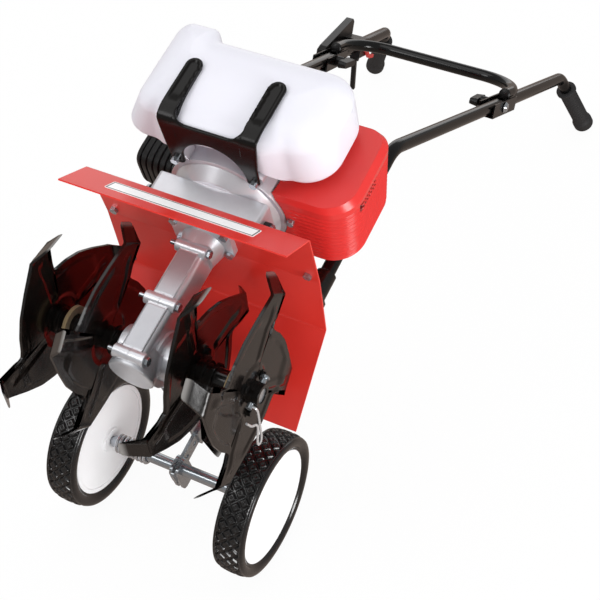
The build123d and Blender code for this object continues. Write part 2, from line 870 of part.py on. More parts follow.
with BuildPart() as engine_cover:
    for y in (cover_front, cover_shoulder, cover_back):
        with BuildSketch(front(y)):
            cover_outline(y, 0)
    loft(ruled=True)
    fillet(engine_cover.faces().sort_by(Axis(shaft_foot, rearward))[-1].edges(), cover_back_round)
    for groove in range(groove_count):
        y = groove_start + groove * groove_pitch
        with BuildSketch(front(y)):
            cover_outline(y, -2 * groove_depth)
            cover_outline(y, groove_depth, Mode.SUBTRACT)
        extrude(amount=-groove_width, mode=Mode.SUBTRACT)
    for y in (cover_front + cover_wall, cover_shoulder, cover_back - cover_floor):
        with BuildSketch(front(y)):
            cover_outline(y, cover_wall)
    loft(ruled=True, mode=Mode.SUBTRACT)
    with BuildSketch(side(cover_near, y=(cover_front + cover_back) / 2, z=(cover_low + cover_high) / 2)):
        Rectangle(2 * (cover_high - cover_low), 2 * (cover_high - cover_low))
    extrude(amount=-2 * cover_hidden, mode=Mode.SUBTRACT)
    with BuildSketch(level(cover_low - 1)):
        Circle(fan_r + cover_fan_gap)
    extrude(amount=fan_top + cover_fan_gap - cover_low + 1, mode=Mode.SUBTRACT)
    with BuildSketch(level(cover_low - 1, *cover_screw)):
        Circle(small_bolt_r)
    extrude(amount=2 * cover_wall, mode=Mode.SUBTRACT)
keep(engine_cover, "engine_cover")

starter_r = 56
starter_height = 40
starter_taper = 8
starter_wall = 4
vent_ring = 30
vent_count = 12
vent_length = 22
vent_width = 4
with BuildPart() as starter_cover:
    with BuildSketch(level(case_end)):
        Circle(starter_r)
    extrude(amount=starter_height, taper=starter_taper)
    with BuildSketch(level(case_end)):
        Circle(starter_r - starter_wall)
    extrude(amount=starter_height - starter_wall, taper=starter_taper, mode=Mode.SUBTRACT)
    with BuildSketch(level(case_end + starter_height - starter_wall)):
        with PolarLocations(vent_ring, vent_count):
            SlotOverall(vent_length, vent_width)
    extrude(amount=starter_wall, mode=Mode.SUBTRACT)
keep(starter_cover, "starter_cover")

# Fuel tank: two lobes that straddle the engine, a raised shoulder at the left, and the filler in a step behind
tank_left = -158
tank_front_left = -106   # the left side slants, so the front is narrower
tank_right = 138
tank_front = -146
tank_back = -48
tank_low = 233
tank_chin = 219          # the middle of the tank hangs lower, down to the bracket
chin_half = 60
chin_front = -141
chin_back = -70
chin_corner = 12
tank_high = 351
shoulder_high = 369
shoulder_right = -66
shoulder_slope = 8
tank_edge_round = 15
tank_saddle_r = 60
tank_lug_room = 103
lug_room_gap = 4
filler = (-60, -72)
filler_r = 15
filler_step = 338
step_width = 64
step_front = -98
step_corner = 8
step_over = 10
neck_root = 6
neck_rise = 12


# Corners of the tank's outline seen from the front, each with its radius
def tank_corners(left):
    return (((left, tank_low), 30), ((left, shoulder_high), 18), ((shoulder_right, shoulder_high), 18),
            ((shoulder_right + shoulder_slope, tank_high), 10), ((tank_right, tank_high), 54),
            ((tank_right, tank_low), 44))


with BuildPart() as fuel_tank:
    for y, left in ((tank_back, tank_left), (tank_front, tank_front_left)):
        with BuildSketch(front(y)) as tank_outline:
            Polygon(*[corner for corner, radius in tank_corners(left)], align=None)
            for corner, radius in tank_corners(left):
                fillet(tank_outline.vertices().sort_by_distance(corner)[0], radius)
    loft(ruled=True)
    fillet(fuel_tank.faces().sort_by(Axis(shaft_foot, rearward))[0].edges(), tank_edge_round)
    fillet(fuel_tank.faces().sort_by(Axis(shaft_foot, rearward))[-1].edges(), tank_edge_round)
    with BuildSketch(level(tank_chin, y=(chin_front + chin_back) / 2)):
        RectangleRounded(2 * chin_half, chin_back - chin_front, chin_corner)
    extrude(amount=2 * (tank_low - tank_chin))
    with BuildSketch(level(tank_low)):
        Circle(tank_saddle_r)
    extrude(amount=shoulder_high - tank_low, mode=Mode.SUBTRACT)
    with BuildSketch(level(tank_chin - 1)):
        Circle(tank_lug_room)
    extrude(amount=fan_top + lug_room_gap - tank_chin + 1, mode=Mode.SUBTRACT)
    with BuildSketch(level(filler_step, x=filler[0], y=(step_front + tank_back + step_over) / 2)):
        RectangleRounded(step_width, tank_back + step_over - step_front, step_corner)
    extrude(amount=shoulder_high - filler_step, mode=Mode.SUBTRACT)
    with BuildSketch(level(filler_step - neck_root, *filler)):
        Circle(filler_r)
    extrude(amount=neck_root + neck_rise)
keep(fuel_tank, "fuel_tank")

cap_r = 21
cap_gap = 0.3
cap_height = 20
cap_top = 5
cap_lift = 1
cap_grooves = 18
cap_groove_r = 2
with BuildPart() as fuel_cap:
    with BuildSketch(level(filler_step + cap_lift, *filler)):
        Circle(cap_r)
        with PolarLocations(cap_r + cap_groove_r / 2, cap_grooves):
            Circle(cap_groove_r, mode=Mode.SUBTRACT)
    extrude(amount=cap_height)
    with BuildSketch(level(filler_step + cap_lift, *filler)):
        Circle(filler_r + cap_gap)
    extrude(amount=cap_height - cap_top, mode=Mode.SUBTRACT)
keep(fuel_cap, "fuel_cap")

# Tank bracket: a bent plate with a foot at each lug and two arms with round ends in front of the tank
bracket_half = 67
bracket_thick = 5
fork_gap_half = 45
bridge_front = -141
fork_corner = 12
fork_top = 305
fork_arm_x = (bracket_half + fork_gap_half) / 2
fork_arm_half = (bracket_half - fork_gap_half) / 2
bracket_arch_r = 46
bracket_arch_back = -71
foot_level = fan_bottom - bracket_thick / 2
fork_front = tank_front - 3
bracket_bend = 5
# From the feet under the lugs, forward below the tank and up in front of it
bracket_path = ((-66, foot_level), (-100, foot_level), (fork_front + 5, foot_level + 4),
                (fork_front, foot_level + 20), (fork_front, fork_top - fork_arm_half))
bracket_cut = 8
with BuildPart() as tank_bracket:
    with BuildSketch(side(-bracket_half)):
        with BuildLine():
            FilletPolyline(*bracket_path, radius=bracket_bend)
        trace(line_width=bracket_thick)
    extrude(amount=2 * bracket_half)
    with BuildSketch(level(foot_level - bracket_thick, y=bridge_front - fork_gap_half)):
        RectangleRounded(2 * fork_gap_half, 2 * fork_gap_half, fork_corner)
    extrude(amount=fork_top - foot_level, mode=Mode.SUBTRACT)
    with BuildSketch(front(fork_front + bracket_thick / 2, z=fork_top - fork_arm_half)):
        with Locations((fork_arm_x, 0), (-fork_arm_x, 0)):
            Circle(fork_arm_half)
    extrude(amount=bracket_thick)
    with BuildSketch(level(foot_level, y=bracket_arch_back)):
        Circle(bracket_arch_r)
    extrude(amount=bracket_cut, both=True, mode=Mode.SUBTRACT)
    with BuildSketch(level(foot_level)):
        with Locations(tank_lug, (-tank_lug[0], tank_lug[1])):
            Circle(small_bolt_r)
    extrude(amount=bracket_cut, both=True, mode=Mode.SUBTRACT)
keep(tank_bracket, "tank_bracket")

# Socket screws of the tank bracket and of the engine cover
socket_head_r = 5
socket_head = 6
round_sides = 24
lug_screw_depth = 14
cover_screw_depth = 2
lug_seats = [(below(fan_bottom - bracket_thick, x, tank_lug[1]), bracket_thick + lug_screw_depth)
             for x in (tank_lug[0], -tank_lug[0])]
cover_seat = (below(cover_low, *cover_screw), cover_screw_depth)
socket_screws = screws(lug_seats + [cover_seat], socket_head_r, socket_head, small_bolt_r, round_sides)
keep(socket_screws, "socket_screws")

# Handle base on the back of the clutch housing, with a socket for each handle tube
base_low = 176
base_thick = 5
socket_r = 13.5
socket_height = 40
base_half = 62
base_height = 36
base_corner = 5
wing_half = 135
wing_front = 92
wing_back = 120
base_arch_r = 46
with BuildPart() as handle_base:
    with BuildSketch(front(block_back, z=(guard_top + block_top) / 2)):
        RectangleRounded(2 * base_half, base_height, base_corner)
    extrude(amount=-base_thick)
    with BuildSketch(level(base_low)):
        Polygon((-base_half, block_back + 1), (base_half, block_back + 1), (wing_half, wing_front),
                (wing_half, wing_back), (-wing_half, wing_back), (-wing_half, wing_front), align=None)
    extrude(amount=base_thick)
    with BuildSketch(level(base_low, y=wing_back)):
        Circle(base_arch_r)
    extrude(amount=base_thick, mode=Mode.SUBTRACT)
    with BuildSketch(level(base_low)):
        with Locations(low_bend[:2], (-low_bend[0], low_bend[1])):
            Circle(socket_r)
    extrude(amount=socket_height)
    with BuildSketch(level(base_low)):
        with Locations(low_bend[:2], (-low_bend[0], low_bend[1])):
            Circle(tube_r)
    extrude(amount=socket_height, mode=Mode.SUBTRACT)
    with BuildSketch(front(block_back)):
        with Locations(*[(x, z) for x in (base_bolt_x, -base_bolt_x) for z in base_bolt_levels]):
            Circle(small_bolt_r)
    extrude(amount=-base_thick, mode=Mode.SUBTRACT)
keep(handle_base, "handle_base")

# Hexagon bolts: gear case bosses, housing flange, guard corners, bushes, handle base and wheel arm
bolt_head_r = 5.8
bolt_head = 4.5
boss_bolt_end = 9
ear_bolt_end = 6
guard_bolt_length = 6
boss_seats = [(side(boss_half, y=boss_back, z=height), 2 * boss_half + boss_bolt_end) for height in boss_levels]
flange_seats = [(below(case_top - flange_height, x, y), flange_bolt_top - case_top + flange_height)
                for x, y in flange_bolts]
guard_seats = [(below(guard_top - guard_thick, x, y), guard_bolt_length) for x, y in guard_bolt_spots]
bush_seats = [(face.offset(bush_length), bush_length + bush_bolt_depth) for face in bush_faces]
base_seats = [(behind(block_back + base_thick, x, z), base_thick + base_bolt_depth)
              for x in (base_bolt_x, -base_bolt_x) for z in base_bolt_levels]
ear_seats = [(side(ear_half, y, z), 2 * ear_half + ear_bolt_end) for y, z in ear_bolts]
hex_bolts = screws(boss_seats + flange_seats + guard_seats + bush_seats + base_seats + ear_seats,
                   bolt_head_r, bolt_head, small_bolt_r)
keep(hex_bolts, "hex_bolts")


# Handles: each side has a lower tube, and an upper tube welded into a folding sleeve
def handle_frame(hand):
    bend_low = spot(hand * low_bend[0], low_bend[1], low_bend[2])
    bend_top = spot(hand * top_bend[0], top_bend[1], top_bend[2])
    along = (bend_top - bend_low).normalized()
    return Plane(bend_low + along * fold_reach, x_dir=rightward - along * along.dot(rightward), z_dir=along)


sleeve_wall = 2.5
sleeve_gap = 0.4
sleeve_side_gap = 1.6    # the tubes lean, so folding moves them a little sideways
sleeve_before = 46
sleeve_after = 55
sleeve_half = tube_r + sleeve_gap
sleeve_side = tube_r + sleeve_side_gap
upper_tube_r = sleeve_half + 0.2
upper_start = 19
tip_round = tube_r - 0.6  # the lower tube's end is rounded about the fold bolt, to turn in the sleeve
low_bend_r = 60
top_bend_r = 34
fold_bolt_r = 4
fold_bolt_gap = 0.08
fold_bolt_end = 15
coach_head_r = 9
coach_head = 4
coach_taper = 30
bolt_seat = 1            # the sleeve leans away from the bolt head by this much
fold_bolt_pair = []
crossbar_reach = 126
crossbar_start = 30
crossbar_lift = 13.5
crossbar_bend = 70
grip_length = 118
grip_plug = 6            # rubber beyond the end of the tube
grip_knob = 22
grip_collar = 8
knob_stem_r = 9
knob_stem = 12
knob_wing_span = 34
knob_wing_width = 14
knob_wing_height = 13
knob_wing_taper = 8
knob_hole = 17
heading = (rightward * grip_heading[0] + rearward * grip_heading[1] + upward * grip_heading[2]).normalized()
grip_lean = sqrt(1 - heading.Z**2)
# The grips are just long enough for their rounded ends to touch the floor
round_centre_height = grip_round + (grip_flare_r - grip_round) * grip_lean
grip_run = (spot(*top_bend).Z - round_centre_height) / -heading.Z + grip_round

for hand, word in ((1, "right"), (-1, "left")):
    fold = handle_frame(hand)
    tube_foot = spot(hand * low_bend[0], low_bend[1], base_low)
    tube_bend = spot(hand * low_bend[0], low_bend[1], low_bend[2])
    lower_tip = fold.origin + fold.z_dir * (tube_r + 2)
    bolt_plane = Plane(fold.origin, x_dir=fold.z_dir - rightward * fold.z_dir.X, z_dir=rightward)

    lower_handle = tube((tube_foot, tube_bend, lower_tip), low_bend_r, tube_r, tube_bore)
    with BuildPart() as drilled_handle:
        add(lower_handle.part)
        with BuildSketch(bolt_plane):
            with Locations((2 * tube_r, 0)):
                Rectangle(4 * tube_r, 4 * tube_r)
            Circle(tip_round, mode=Mode.SUBTRACT)
        extrude(amount=2 * tube_r, both=True, mode=Mode.SUBTRACT)
        with BuildSketch(bolt_plane):
            Circle(fold_bolt_r + fold_bolt_gap)
        extrude(amount=2 * tube_r, both=True, mode=Mode.SUBTRACT)
    keep(drilled_handle, f"lower_handle_{word}")

    outward = Vector(hand * heading.X, heading.Y, heading.Z)
    bend_spot = spot(hand * top_bend[0], top_bend[1], top_bend[2])
    grip_tip = bend_spot + outward * grip_run
    upper_handle = tube((fold.origin + fold.z_dir * upper_start, bend_spot, grip_tip - outward * grip_plug),
                        top_bend_r, upper_tube_r, tube_bore)
    forward_side = 1 if fold.y_dir.dot(rearward) > 0 else -1
    with BuildPart() as sleeved_handle:
        add(upper_handle.part)
        with BuildSketch(fold.offset(-sleeve_before)):
            with Locations((0, forward_side * sleeve_wall / 2)):
                Rectangle(2 * (sleeve_side + sleeve_wall), 2 * sleeve_half + sleeve_wall)
            with Locations((0, -forward_side * sleeve_wall)):
                Rectangle(2 * sleeve_side, 2 * sleeve_half + 2 * sleeve_wall, mode=Mode.SUBTRACT)
        extrude(amount=sleeve_before + sleeve_after)
        with BuildSketch(bolt_plane):
            Circle(fold_bolt_r)
        extrude(amount=2 * tube_r, both=True, mode=Mode.SUBTRACT)
    keep(sleeved_handle, f"upper_handle_{word}")

    grip_start = grip_tip - outward * grip_length
    with BuildPart() as grip:
        with BuildSketch(Plane(grip_start, z_dir=outward)):
            Circle(grip_r)
        extrude(amount=grip_length - grip_knob)
        with BuildSketch(Plane(grip_start, z_dir=outward)):
            Circle(grip_flare_r)
        extrude(amount=grip_collar)
        with BuildSketch(Plane(grip_tip - outward * grip_knob, z_dir=outward)):
            Circle(grip_flare_r)
        extrude(amount=grip_knob)
        fillet(grip.faces().sort_by(Axis(grip_start, outward))[-1].edges(), grip_round)
        with BuildSketch(Plane(grip_start, z_dir=outward)):
            Circle(upper_tube_r)
        extrude(amount=grip_length - grip_plug, mode=Mode.SUBTRACT)
    keep(grip, f"grip_{word}")

    # The knob sits on the inner side of the sleeve
    inward = rightward * -hand
    knob_foot = fold.origin + inward * (sleeve_side + sleeve_wall + bolt_seat)
    with BuildPart() as wing_knob:
        with BuildSketch(Plane(knob_foot, x_dir=fold.z_dir, z_dir=inward)):
            Circle(knob_stem_r)
        extrude(amount=knob_stem)
        with BuildSketch(Plane(knob_foot + inward * knob_stem, x_dir=fold.z_dir, z_dir=inward)):
            SlotCenterToCenter(knob_wing_span, knob_wing_width)
        extrude(amount=knob_wing_height, taper=knob_wing_taper)
        with BuildSketch(Plane(knob_foot, x_dir=fold.z_dir, z_dir=inward)):
            Circle(fold_bolt_r + running_gap)
        extrude(amount=knob_hole, mode=Mode.SUBTRACT)
    keep(wing_knob, f"wing_knob_{word}")

    bolt_spot = fold.origin - inward * (sleeve_side + sleeve_wall + bolt_seat)
    with BuildPart() as fold_bolt:
        with BuildSketch(Plane(bolt_spot, z_dir=inward)):
            Circle(coach_head_r)
        extrude(amount=-coach_head, taper=coach_taper)
        with BuildSketch(Plane(bolt_spot, z_dir=inward)):
            Circle(fold_bolt_r)
        extrude(amount=2 * (sleeve_side + sleeve_wall + bolt_seat) + fold_bolt_end)
    fold_bolt_pair.append(fold_bolt)

with BuildPart() as fold_bolts:
    for fold_bolt in fold_bolt_pair:
        add(fold_bolt.part)
keep(fold_bolts, "fold_bolts")

# Cross bar, coped onto the front of both upper tubes
fold_right = handle_frame(1)
fold_left = handle_frame(-1)
bar_ends = [fold.origin + fold.z_dir * crossbar_start - fold.y_dir * crossbar_lift
            for fold in (fold_right, fold_left)]
bar_corners = [fold.origin + fold.z_dir * crossbar_reach - fold.y_dir * crossbar_lift
               for fold in (fold_right, fold_left)]
bar_tube = tube((bar_ends[0], bar_corners[0], bar_corners[1], bar_ends[1]), crossbar_bend, tube_r, tube_bore)
with BuildPart() as crossbar:
    add(bar_tube.part)
    for fold in (fold_right, fold_left):
        with BuildSketch(fold):
            Circle(upper_tube_r)
        extrude(amount=crossbar_reach, mode=Mode.SUBTRACT)
keep(crossbar, "crossbar")

# Throttle box on the outer side of the left upper tube: distances along the tube and above it
throttle_profile = ((12, -15), (12, 8), (24, 14), (150, 46), (158, 40), (162, -15))
clamp_profile = ((122, -15), (122, 17), (159.7, 17), (162, -15))
box_outer = 28
box_inner = sleeve_side + sleeve_wall + 0.6
clamp_inner = 17
pivot = (152, -22)
pivot_r = 2
pivot_lug_r = 5
pivot_lug_height = 9
lug_gap = 4.4
lug_thick = 3.5


def throttle_plane(x):
    return Plane(fold_left.origin + fold_left.x_dir * x, x_dir=fold_left.z_dir, z_dir=fold_left.x_dir)


with BuildPart() as throttle_housing:
    with BuildSketch(throttle_plane(-box_outer)):
        Polygon(*throttle_profile, align=None)
    extrude(amount=box_outer - box_inner)
    with BuildSketch(throttle_plane(-box_outer)):
        Polygon(*clamp_profile, align=None)
    extrude(amount=box_outer + clamp_inner)
    with BuildSketch(fold_left):
        Circle(upper_tube_r)
    extrude(amount=fold_reach / 2, mode=Mode.SUBTRACT)
    for start in (lug_gap, -lug_gap - lug_thick):
        with BuildSketch(throttle_plane(start)):
            with Locations((pivot[0], pivot[1] + pivot_lug_height / 2)):
                SlotCenterToCenter(pivot_lug_height, 2 * pivot_lug_r, rotation=90)
            with Locations((pivot[0], 0)):
                Circle(upper_tube_r, mode=Mode.SUBTRACT)
        extrude(amount=lug_thick)
    with BuildSketch(throttle_plane(-lug_gap - lug_thick)):
        with Locations(pivot):
            Circle(pivot_r)
    extrude(amount=2 * (lug_gap + lug_thick))
keep(throttle_housing, "throttle_housing")

# The trigger hangs from its pin under the clamp
trigger_half = 4
trigger_tip = (176, -84)
trigger_eye_r = 4.5
trigger_width = 7
with BuildPart() as throttle_trigger:
    with BuildSketch(throttle_plane(-trigger_half)):
        with Locations(pivot):
            Circle(trigger_eye_r)
        with BuildLine():
            Line(pivot, trigger_tip)
        trace(line_width=trigger_width)
        with Locations(pivot):
            Circle(pivot_r + running_gap, mode=Mode.SUBTRACT)
    extrude(amount=2 * trigger_half)
keep(throttle_trigger, "throttle_trigger")

# Red stop lever on the inner face of the clamp
stop_gap = 0.4
stop_pivot = (142, 2)
stop_bend = (170, -18)
stop_tip = (196, -20)
stop_eye_r = 7
stop_round = 14
stop_width = 6
stop_thick = 5
with BuildPart() as stop_lever:
    with BuildSketch(throttle_plane(clamp_inner + stop_gap)):
        with Locations(stop_pivot):
            Circle(stop_eye_r)
        with BuildLine():
            FilletPolyline(stop_pivot, stop_bend, stop_tip, radius=stop_round)
        trace(line_width=stop_width)
    extrude(amount=stop_thick)
keep(stop_lever, "stop_lever")

# Wheel arm from the gear case, with a sleeve that the height bar slides in
axle_tube_r = 8.5
bar_half = 12
bar_low = -66
bar_high = 70
bar_holes = (-30, -8, 14, 36, 58)
bar_hole_r = 4
bar_gap = 0.35
guide_wall = 3.5
guide_low = 0
guide_high = 26
arm_root = ear_end - 28
arm_root_half = 13
arm_end = wheel_back - bar_half - bar_gap - guide_wall + 1
with BuildPart() as wheel_arm:
    with BuildSketch(side(-ear_plate_half)):
        Polygon((arm_root, -arm_root_half), (arm_end, guide_low), (arm_end, guide_high),
                (arm_root, arm_root_half), align=None)
        with Locations(*ear_bolts):
            Circle(small_bolt_r, mode=Mode.SUBTRACT)
    extrude(amount=2 * ear_plate_half)
    with BuildSketch(level(guide_low, y=wheel_back)):
        Rectangle(2 * (ear_plate_half + bar_gap + guide_wall), 2 * (bar_half + bar_gap + guide_wall))
    extrude(amount=guide_high - guide_low)
    with BuildSketch(level(guide_low, y=wheel_back)):
        Rectangle(2 * (ear_plate_half + bar_gap), 2 * (bar_half + bar_gap))
    extrude(amount=guide_high - guide_low, mode=Mode.SUBTRACT)
    with BuildSketch(side(-ear_plate_half - bar_gap - guide_wall, y=wheel_back, z=bar_holes[2])):
        Circle(bar_hole_r)
    extrude(amount=2 * (ear_plate_half + bar_gap + guide_wall), mode=Mode.SUBTRACT)
keep(wheel_arm, "wheel_arm")

# Height bar with its pin holes and the folded clamp round the axle
clamp_plate = 4
clamp_length = 56
clamp_height = 30
clamp_shift = 14
clamp_corner = 9
bar_corner = 5
with BuildPart() as height_bar:
    with BuildSketch(side(-ear_plate_half)):
        with Locations((wheel_back, (bar_low + bar_high) / 2)):
            RectangleRounded(2 * bar_half, bar_high - bar_low, bar_corner)
        with Locations(*[(wheel_back, height) for height in bar_holes]):
            Circle(bar_hole_r, mode=Mode.SUBTRACT)
        with Locations((wheel_back, -wheel_drop)):
            Circle(axle_tube_r, mode=Mode.SUBTRACT)
    extrude(amount=2 * ear_plate_half)
    for start in (ear_plate_half, -ear_plate_half - clamp_plate):
        with BuildSketch(side(start, y=wheel_back, z=-wheel_drop)):
            with Locations((clamp_shift, 0)):
                RectangleRounded(clamp_length, clamp_height, clamp_corner)
            Circle(axle_tube_r, mode=Mode.SUBTRACT)
        extrude(amount=clamp_plate)
keep(height_bar, "height_bar")

# Axle with its spring
axle_end_r = 6
axle_shoulder = wheel_track_half - 24
axle_end = wheel_track_half + 12.5
with BuildPart() as wheel_axle:
    with BuildSketch(side(-axle_shoulder, y=wheel_back, z=-wheel_drop)):
        Circle(axle_tube_r)
    extrude(amount=2 * axle_shoulder)
    with BuildSketch(side(-axle_end, y=wheel_back, z=-wheel_drop)):
        Circle(axle_end_r)
    extrude(amount=2 * axle_end)
keep(wheel_axle, "wheel_axle")

spring_coils = 8
spring_start = -98
spring_pitch = 6.5
spring_bush = 2
spring_coil = 5
spring_wire = 3
with BuildPart() as axle_spring:
    with BuildSketch(side(spring_start, y=wheel_back, z=-wheel_drop)):
        Circle(axle_tube_r + spring_bush)
        Circle(axle_tube_r, mode=Mode.SUBTRACT)
    extrude(amount=spring_coils * spring_pitch)
    for coil in range(spring_coils):
        with BuildSketch(side(spring_start + spring_pitch * coil, y=wheel_back, z=-wheel_drop)):
            Circle(axle_tube_r + spring_coil)
            Circle(axle_tube_r, mode=Mode.SUBTRACT)
        extrude(amount=spring_wire)
keep(axle_spring, "axle_spring")

# Wheels: a closed plastic disc and a rubber tyre
wheel_half = 22
rim_r = 84
rim_seat_r = 80
disc_face = 17
hub_wheel_r = 18
disc_wall = 4
disc_back = disc_face - disc_wall
rim_under_r = rim_seat_r - 6
hub_reach = disc_face + 3
web_near = 1 - disc_face
join = 2                 # how far the inner web runs into the hub and the rim
tread_corner = 5
wall_drop = 6
bead_drop = 1


def wheel_parts(hand, word):
    middle = hand * wheel_track_half
    centre = spot(middle, wheel_back, -wheel_drop)
    section = Plane(centre, x_dir=rightward * hand, z_dir=Vector(0, 1, 0) * -hand)
    spin = Axis(centre, rightward)
    with BuildPart() as rim:
        with BuildSketch(section):
            with BuildLine():
                Polyline((-disc_face, rim_seat_r), (disc_face, rim_seat_r), (disc_face, 0), (disc_back, 0),
                         (disc_back, rim_under_r), (-disc_face, rim_under_r), close=True)
            make_face()
            with BuildLine():
                Polyline((-hub_reach, axle_end_r + running_gap), (disc_back, axle_end_r + running_gap),
                         (disc_back, hub_wheel_r), (-hub_reach, hub_wheel_r), close=True)
            make_face()
            with BuildLine():
                Polyline((web_near, hub_wheel_r - join), (web_near + disc_wall, hub_wheel_r - join),
                         (web_near + disc_wall, rim_under_r + join), (web_near, rim_under_r + join), close=True)
            make_face()
        revolve(axis=spin)
    keep(rim, f"wheel_disc_{word}")
    with BuildPart() as tyre:
        with BuildSketch(section):
            with BuildLine():
                Polyline((-wheel_half, rim_r), (-wheel_half, wheel_radius - wall_drop),
                         (tread_corner - wheel_half, wheel_radius), (wheel_half - tread_corner, wheel_radius),
                         (wheel_half, wheel_radius - wall_drop), (wheel_half, rim_r),
                         (disc_face, rim_r - bead_drop), (disc_face, rim_seat_r), (-disc_face, rim_seat_r),
                         (-disc_face, rim_r - bead_drop), close=True)
            make_face()
        revolve(axis=spin)
    keep(tyre, f"tyre_{word}")


for hand, word in ((1, "right"), (-1, "left")):
    wheel_parts(hand, word)
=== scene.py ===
import math

import bmesh
import bpy
import numpy as np
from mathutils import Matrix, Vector


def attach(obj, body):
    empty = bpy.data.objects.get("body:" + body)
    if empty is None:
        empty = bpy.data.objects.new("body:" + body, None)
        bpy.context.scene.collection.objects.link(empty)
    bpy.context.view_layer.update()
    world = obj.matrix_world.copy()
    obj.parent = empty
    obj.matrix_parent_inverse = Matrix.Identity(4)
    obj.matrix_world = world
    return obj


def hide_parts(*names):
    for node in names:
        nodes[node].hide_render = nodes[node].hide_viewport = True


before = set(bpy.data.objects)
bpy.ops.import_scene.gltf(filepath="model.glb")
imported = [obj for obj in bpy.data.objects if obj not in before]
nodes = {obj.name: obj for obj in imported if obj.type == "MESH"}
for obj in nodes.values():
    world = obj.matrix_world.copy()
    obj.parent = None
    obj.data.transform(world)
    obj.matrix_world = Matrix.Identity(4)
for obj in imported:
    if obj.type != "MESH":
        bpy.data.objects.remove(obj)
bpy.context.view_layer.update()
print("frame loaded:", len(nodes), "nodes")

mmPerMetre = 1000
hands = (("left", -1), ("right", 1))

# The tiller leans back on its wheels. Its own directions are right, rearward and upward, in mm from
# the foot of the drive shaft; place() carries such points into the frame, in metres.
stance = dict(tilt=17.9, wheelRadius=100, axleToMiddle=492, wheelBack=279, wheelDrop=48, tineShaftBack=29)
lean = math.radians(stance["tilt"])
rightward = np.array((1.0, 0.0, 0.0))
rearward = np.array((0.0, math.sin(lean), -math.cos(lean)))
upward = np.array((0.0, math.cos(lean), math.sin(lean)))
shaftFoot = (np.array((0.0, -stance["axleToMiddle"], stance["wheelRadius"]))
             - rearward * stance["wheelBack"] + upward * stance["wheelDrop"])


# foot + x right + y rearward + z upward, in metres
def place(points):
    ownFrame = np.stack((rightward, rearward, upward))
    return (shaftFoot + np.asarray(points, float) @ ownFrame) / mmPerMetre


# sRGB hex to the linear values that shaders take
def linear(hexColour):
    srgb = np.array([int(hexColour[i:i + 2], 16) for i in (1, 3, 5)]) / 255
    low = srgb / 12.92
    high = ((srgb + 0.055) / 1.055) ** 2.4
    return (*np.where(srgb <= 0.04045, low, high).tolist(), 1.0)


# Adds one node: settings are its properties or input values, wires are (node, output, input)
def addNode(tree, kind, settings, *wires):
    node = tree.nodes.new("ShaderNode" + kind)
    for key, value in settings.items():
        if isinstance(key, str) and hasattr(node, key):
            setattr(node, key, value)
        else:
            node.inputs[key].default_value = value
    for source, output, entry in wires:
        tree.links.new(source.outputs[output], node.inputs[entry])
    return node


mixFirst, mixSecond, mixResult = 6, 7, 2  # the colour sockets of a Mix node


# One finish: mottled colour, grit in the bump and the roughness, rounded edges, paler edges (rubbed wear on
# the castings, a painted highlight on the tyre tread), and a second colour where the piece's own mask asks
# for it. Sizes are in millimetres on the real surface.
def makeFinish(name, recipe):
    material = bpy.data.materials.new(name)
    material.use_nodes = True
    tree = material.node_tree
    tree.nodes.clear()
    coords = addNode(tree, "TexCoord", {})
    mottle = addNode(tree, "TexNoise",
                     {"Scale": mmPerMetre / recipe["mottleMm"], "Detail": 4.0, "Roughness": 0.6},
                     (coords, "Object", "Vector"))
    first, second = map(linear, recipe["colours"])
    colour = addNode(tree, "Mix", {"data_type": "RGBA", mixFirst: first, mixSecond: second},
                     (mottle, "Fac", 0))
    spread = addNode(tree, "Mapping",
                     {"Scale": recipe.get("brush", (1, 1, 1)), "Rotation": recipe.get("turn", (0, 0, 0))},
                     (coords, "Object", "Vector"))
    grit = addNode(tree, "TexNoise",
                   {"Scale": mmPerMetre / recipe["gritMm"], "Detail": 3.0, "Roughness": 0.65},
                   (spread, "Vector", "Vector"))
    bevel = addNode(tree, "Bevel", {"samples": 4, "Radius": recipe["edgeMm"] / mmPerMetre})
    bump = addNode(tree, "Bump",
                   {"Strength": recipe["bump"], "Distance": recipe["gritMm"] / mmPerMetre / 3},
                   (grit, "Fac", "Height"), (bevel, "Normal", "Normal"))
    if "edgeWearAndSheen" in recipe:
        # edges are where the rounded normal leaves the flat one
        flat = addNode(tree, "NewGeometry", {})
        wide = addNode(tree, "Bevel", {"samples": 4, "Radius": recipe["edgeWearAndSheenMm"] / mmPerMetre})
        turn = addNode(tree, "VectorMath", {"operation": "DOT_PRODUCT"},
                       (flat, "Normal", 0), (wide, "Normal", 1))
        edge = addNode(tree, "MapRange",
                       {"From Min": 0.985, "From Max": 0.8, "To Min": 0.0, "To Max": 1.0},
                       (turn, "Value", "Value"))
        patchy = addNode(tree, "Math", {"operation": "MULTIPLY", "use_clamp": True},
                         (edge, 0, 0), (grit, "Fac", 1))
        # pale edge colour: wear on the castings, a painted highlight on the tyre tread
        colour = addNode(tree, "Mix", {"data_type": "RGBA", mixSecond: linear(recipe["edgeWearAndSheen"])},
                         (patchy, 0, 0), (colour, mixResult, mixFirst))
    # the masked colour: bare steel at the tine tips, the printed line on the label, painted shade in the
    # cover's slots
    if "masked" in recipe:
        mask = addNode(tree, "Attribute", {"attribute_name": "mask"})
        colour = addNode(tree, "Mix", {"data_type": "RGBA", mixSecond: linear(recipe["masked"])},
                         (mask, "Fac", 0), (colour, mixResult, mixFirst))
    low, high = recipe["rough"]
    wires = [(colour, mixResult, "Base Color"), (bump, "Normal", "Normal")]
    if low < high:
        rough = addNode(tree, "MapRange",
                        {"From Min": 0.3, "From Max": 0.7, "To Min": low, "To Max": high},
                        (grit, "Fac", "Value"))
        wires.append((rough, "Result", "Roughness"))
    settings = {"Metallic": recipe.get("metallic", 0.0), "Roughness": low, **recipe.get("shader", {})}
    shader = addNode(tree, "BsdfPrincipled", settings, *wires)
    addNode(tree, "OutputMaterial", {}, (shader, "BSDF", "Surface"))
    return material


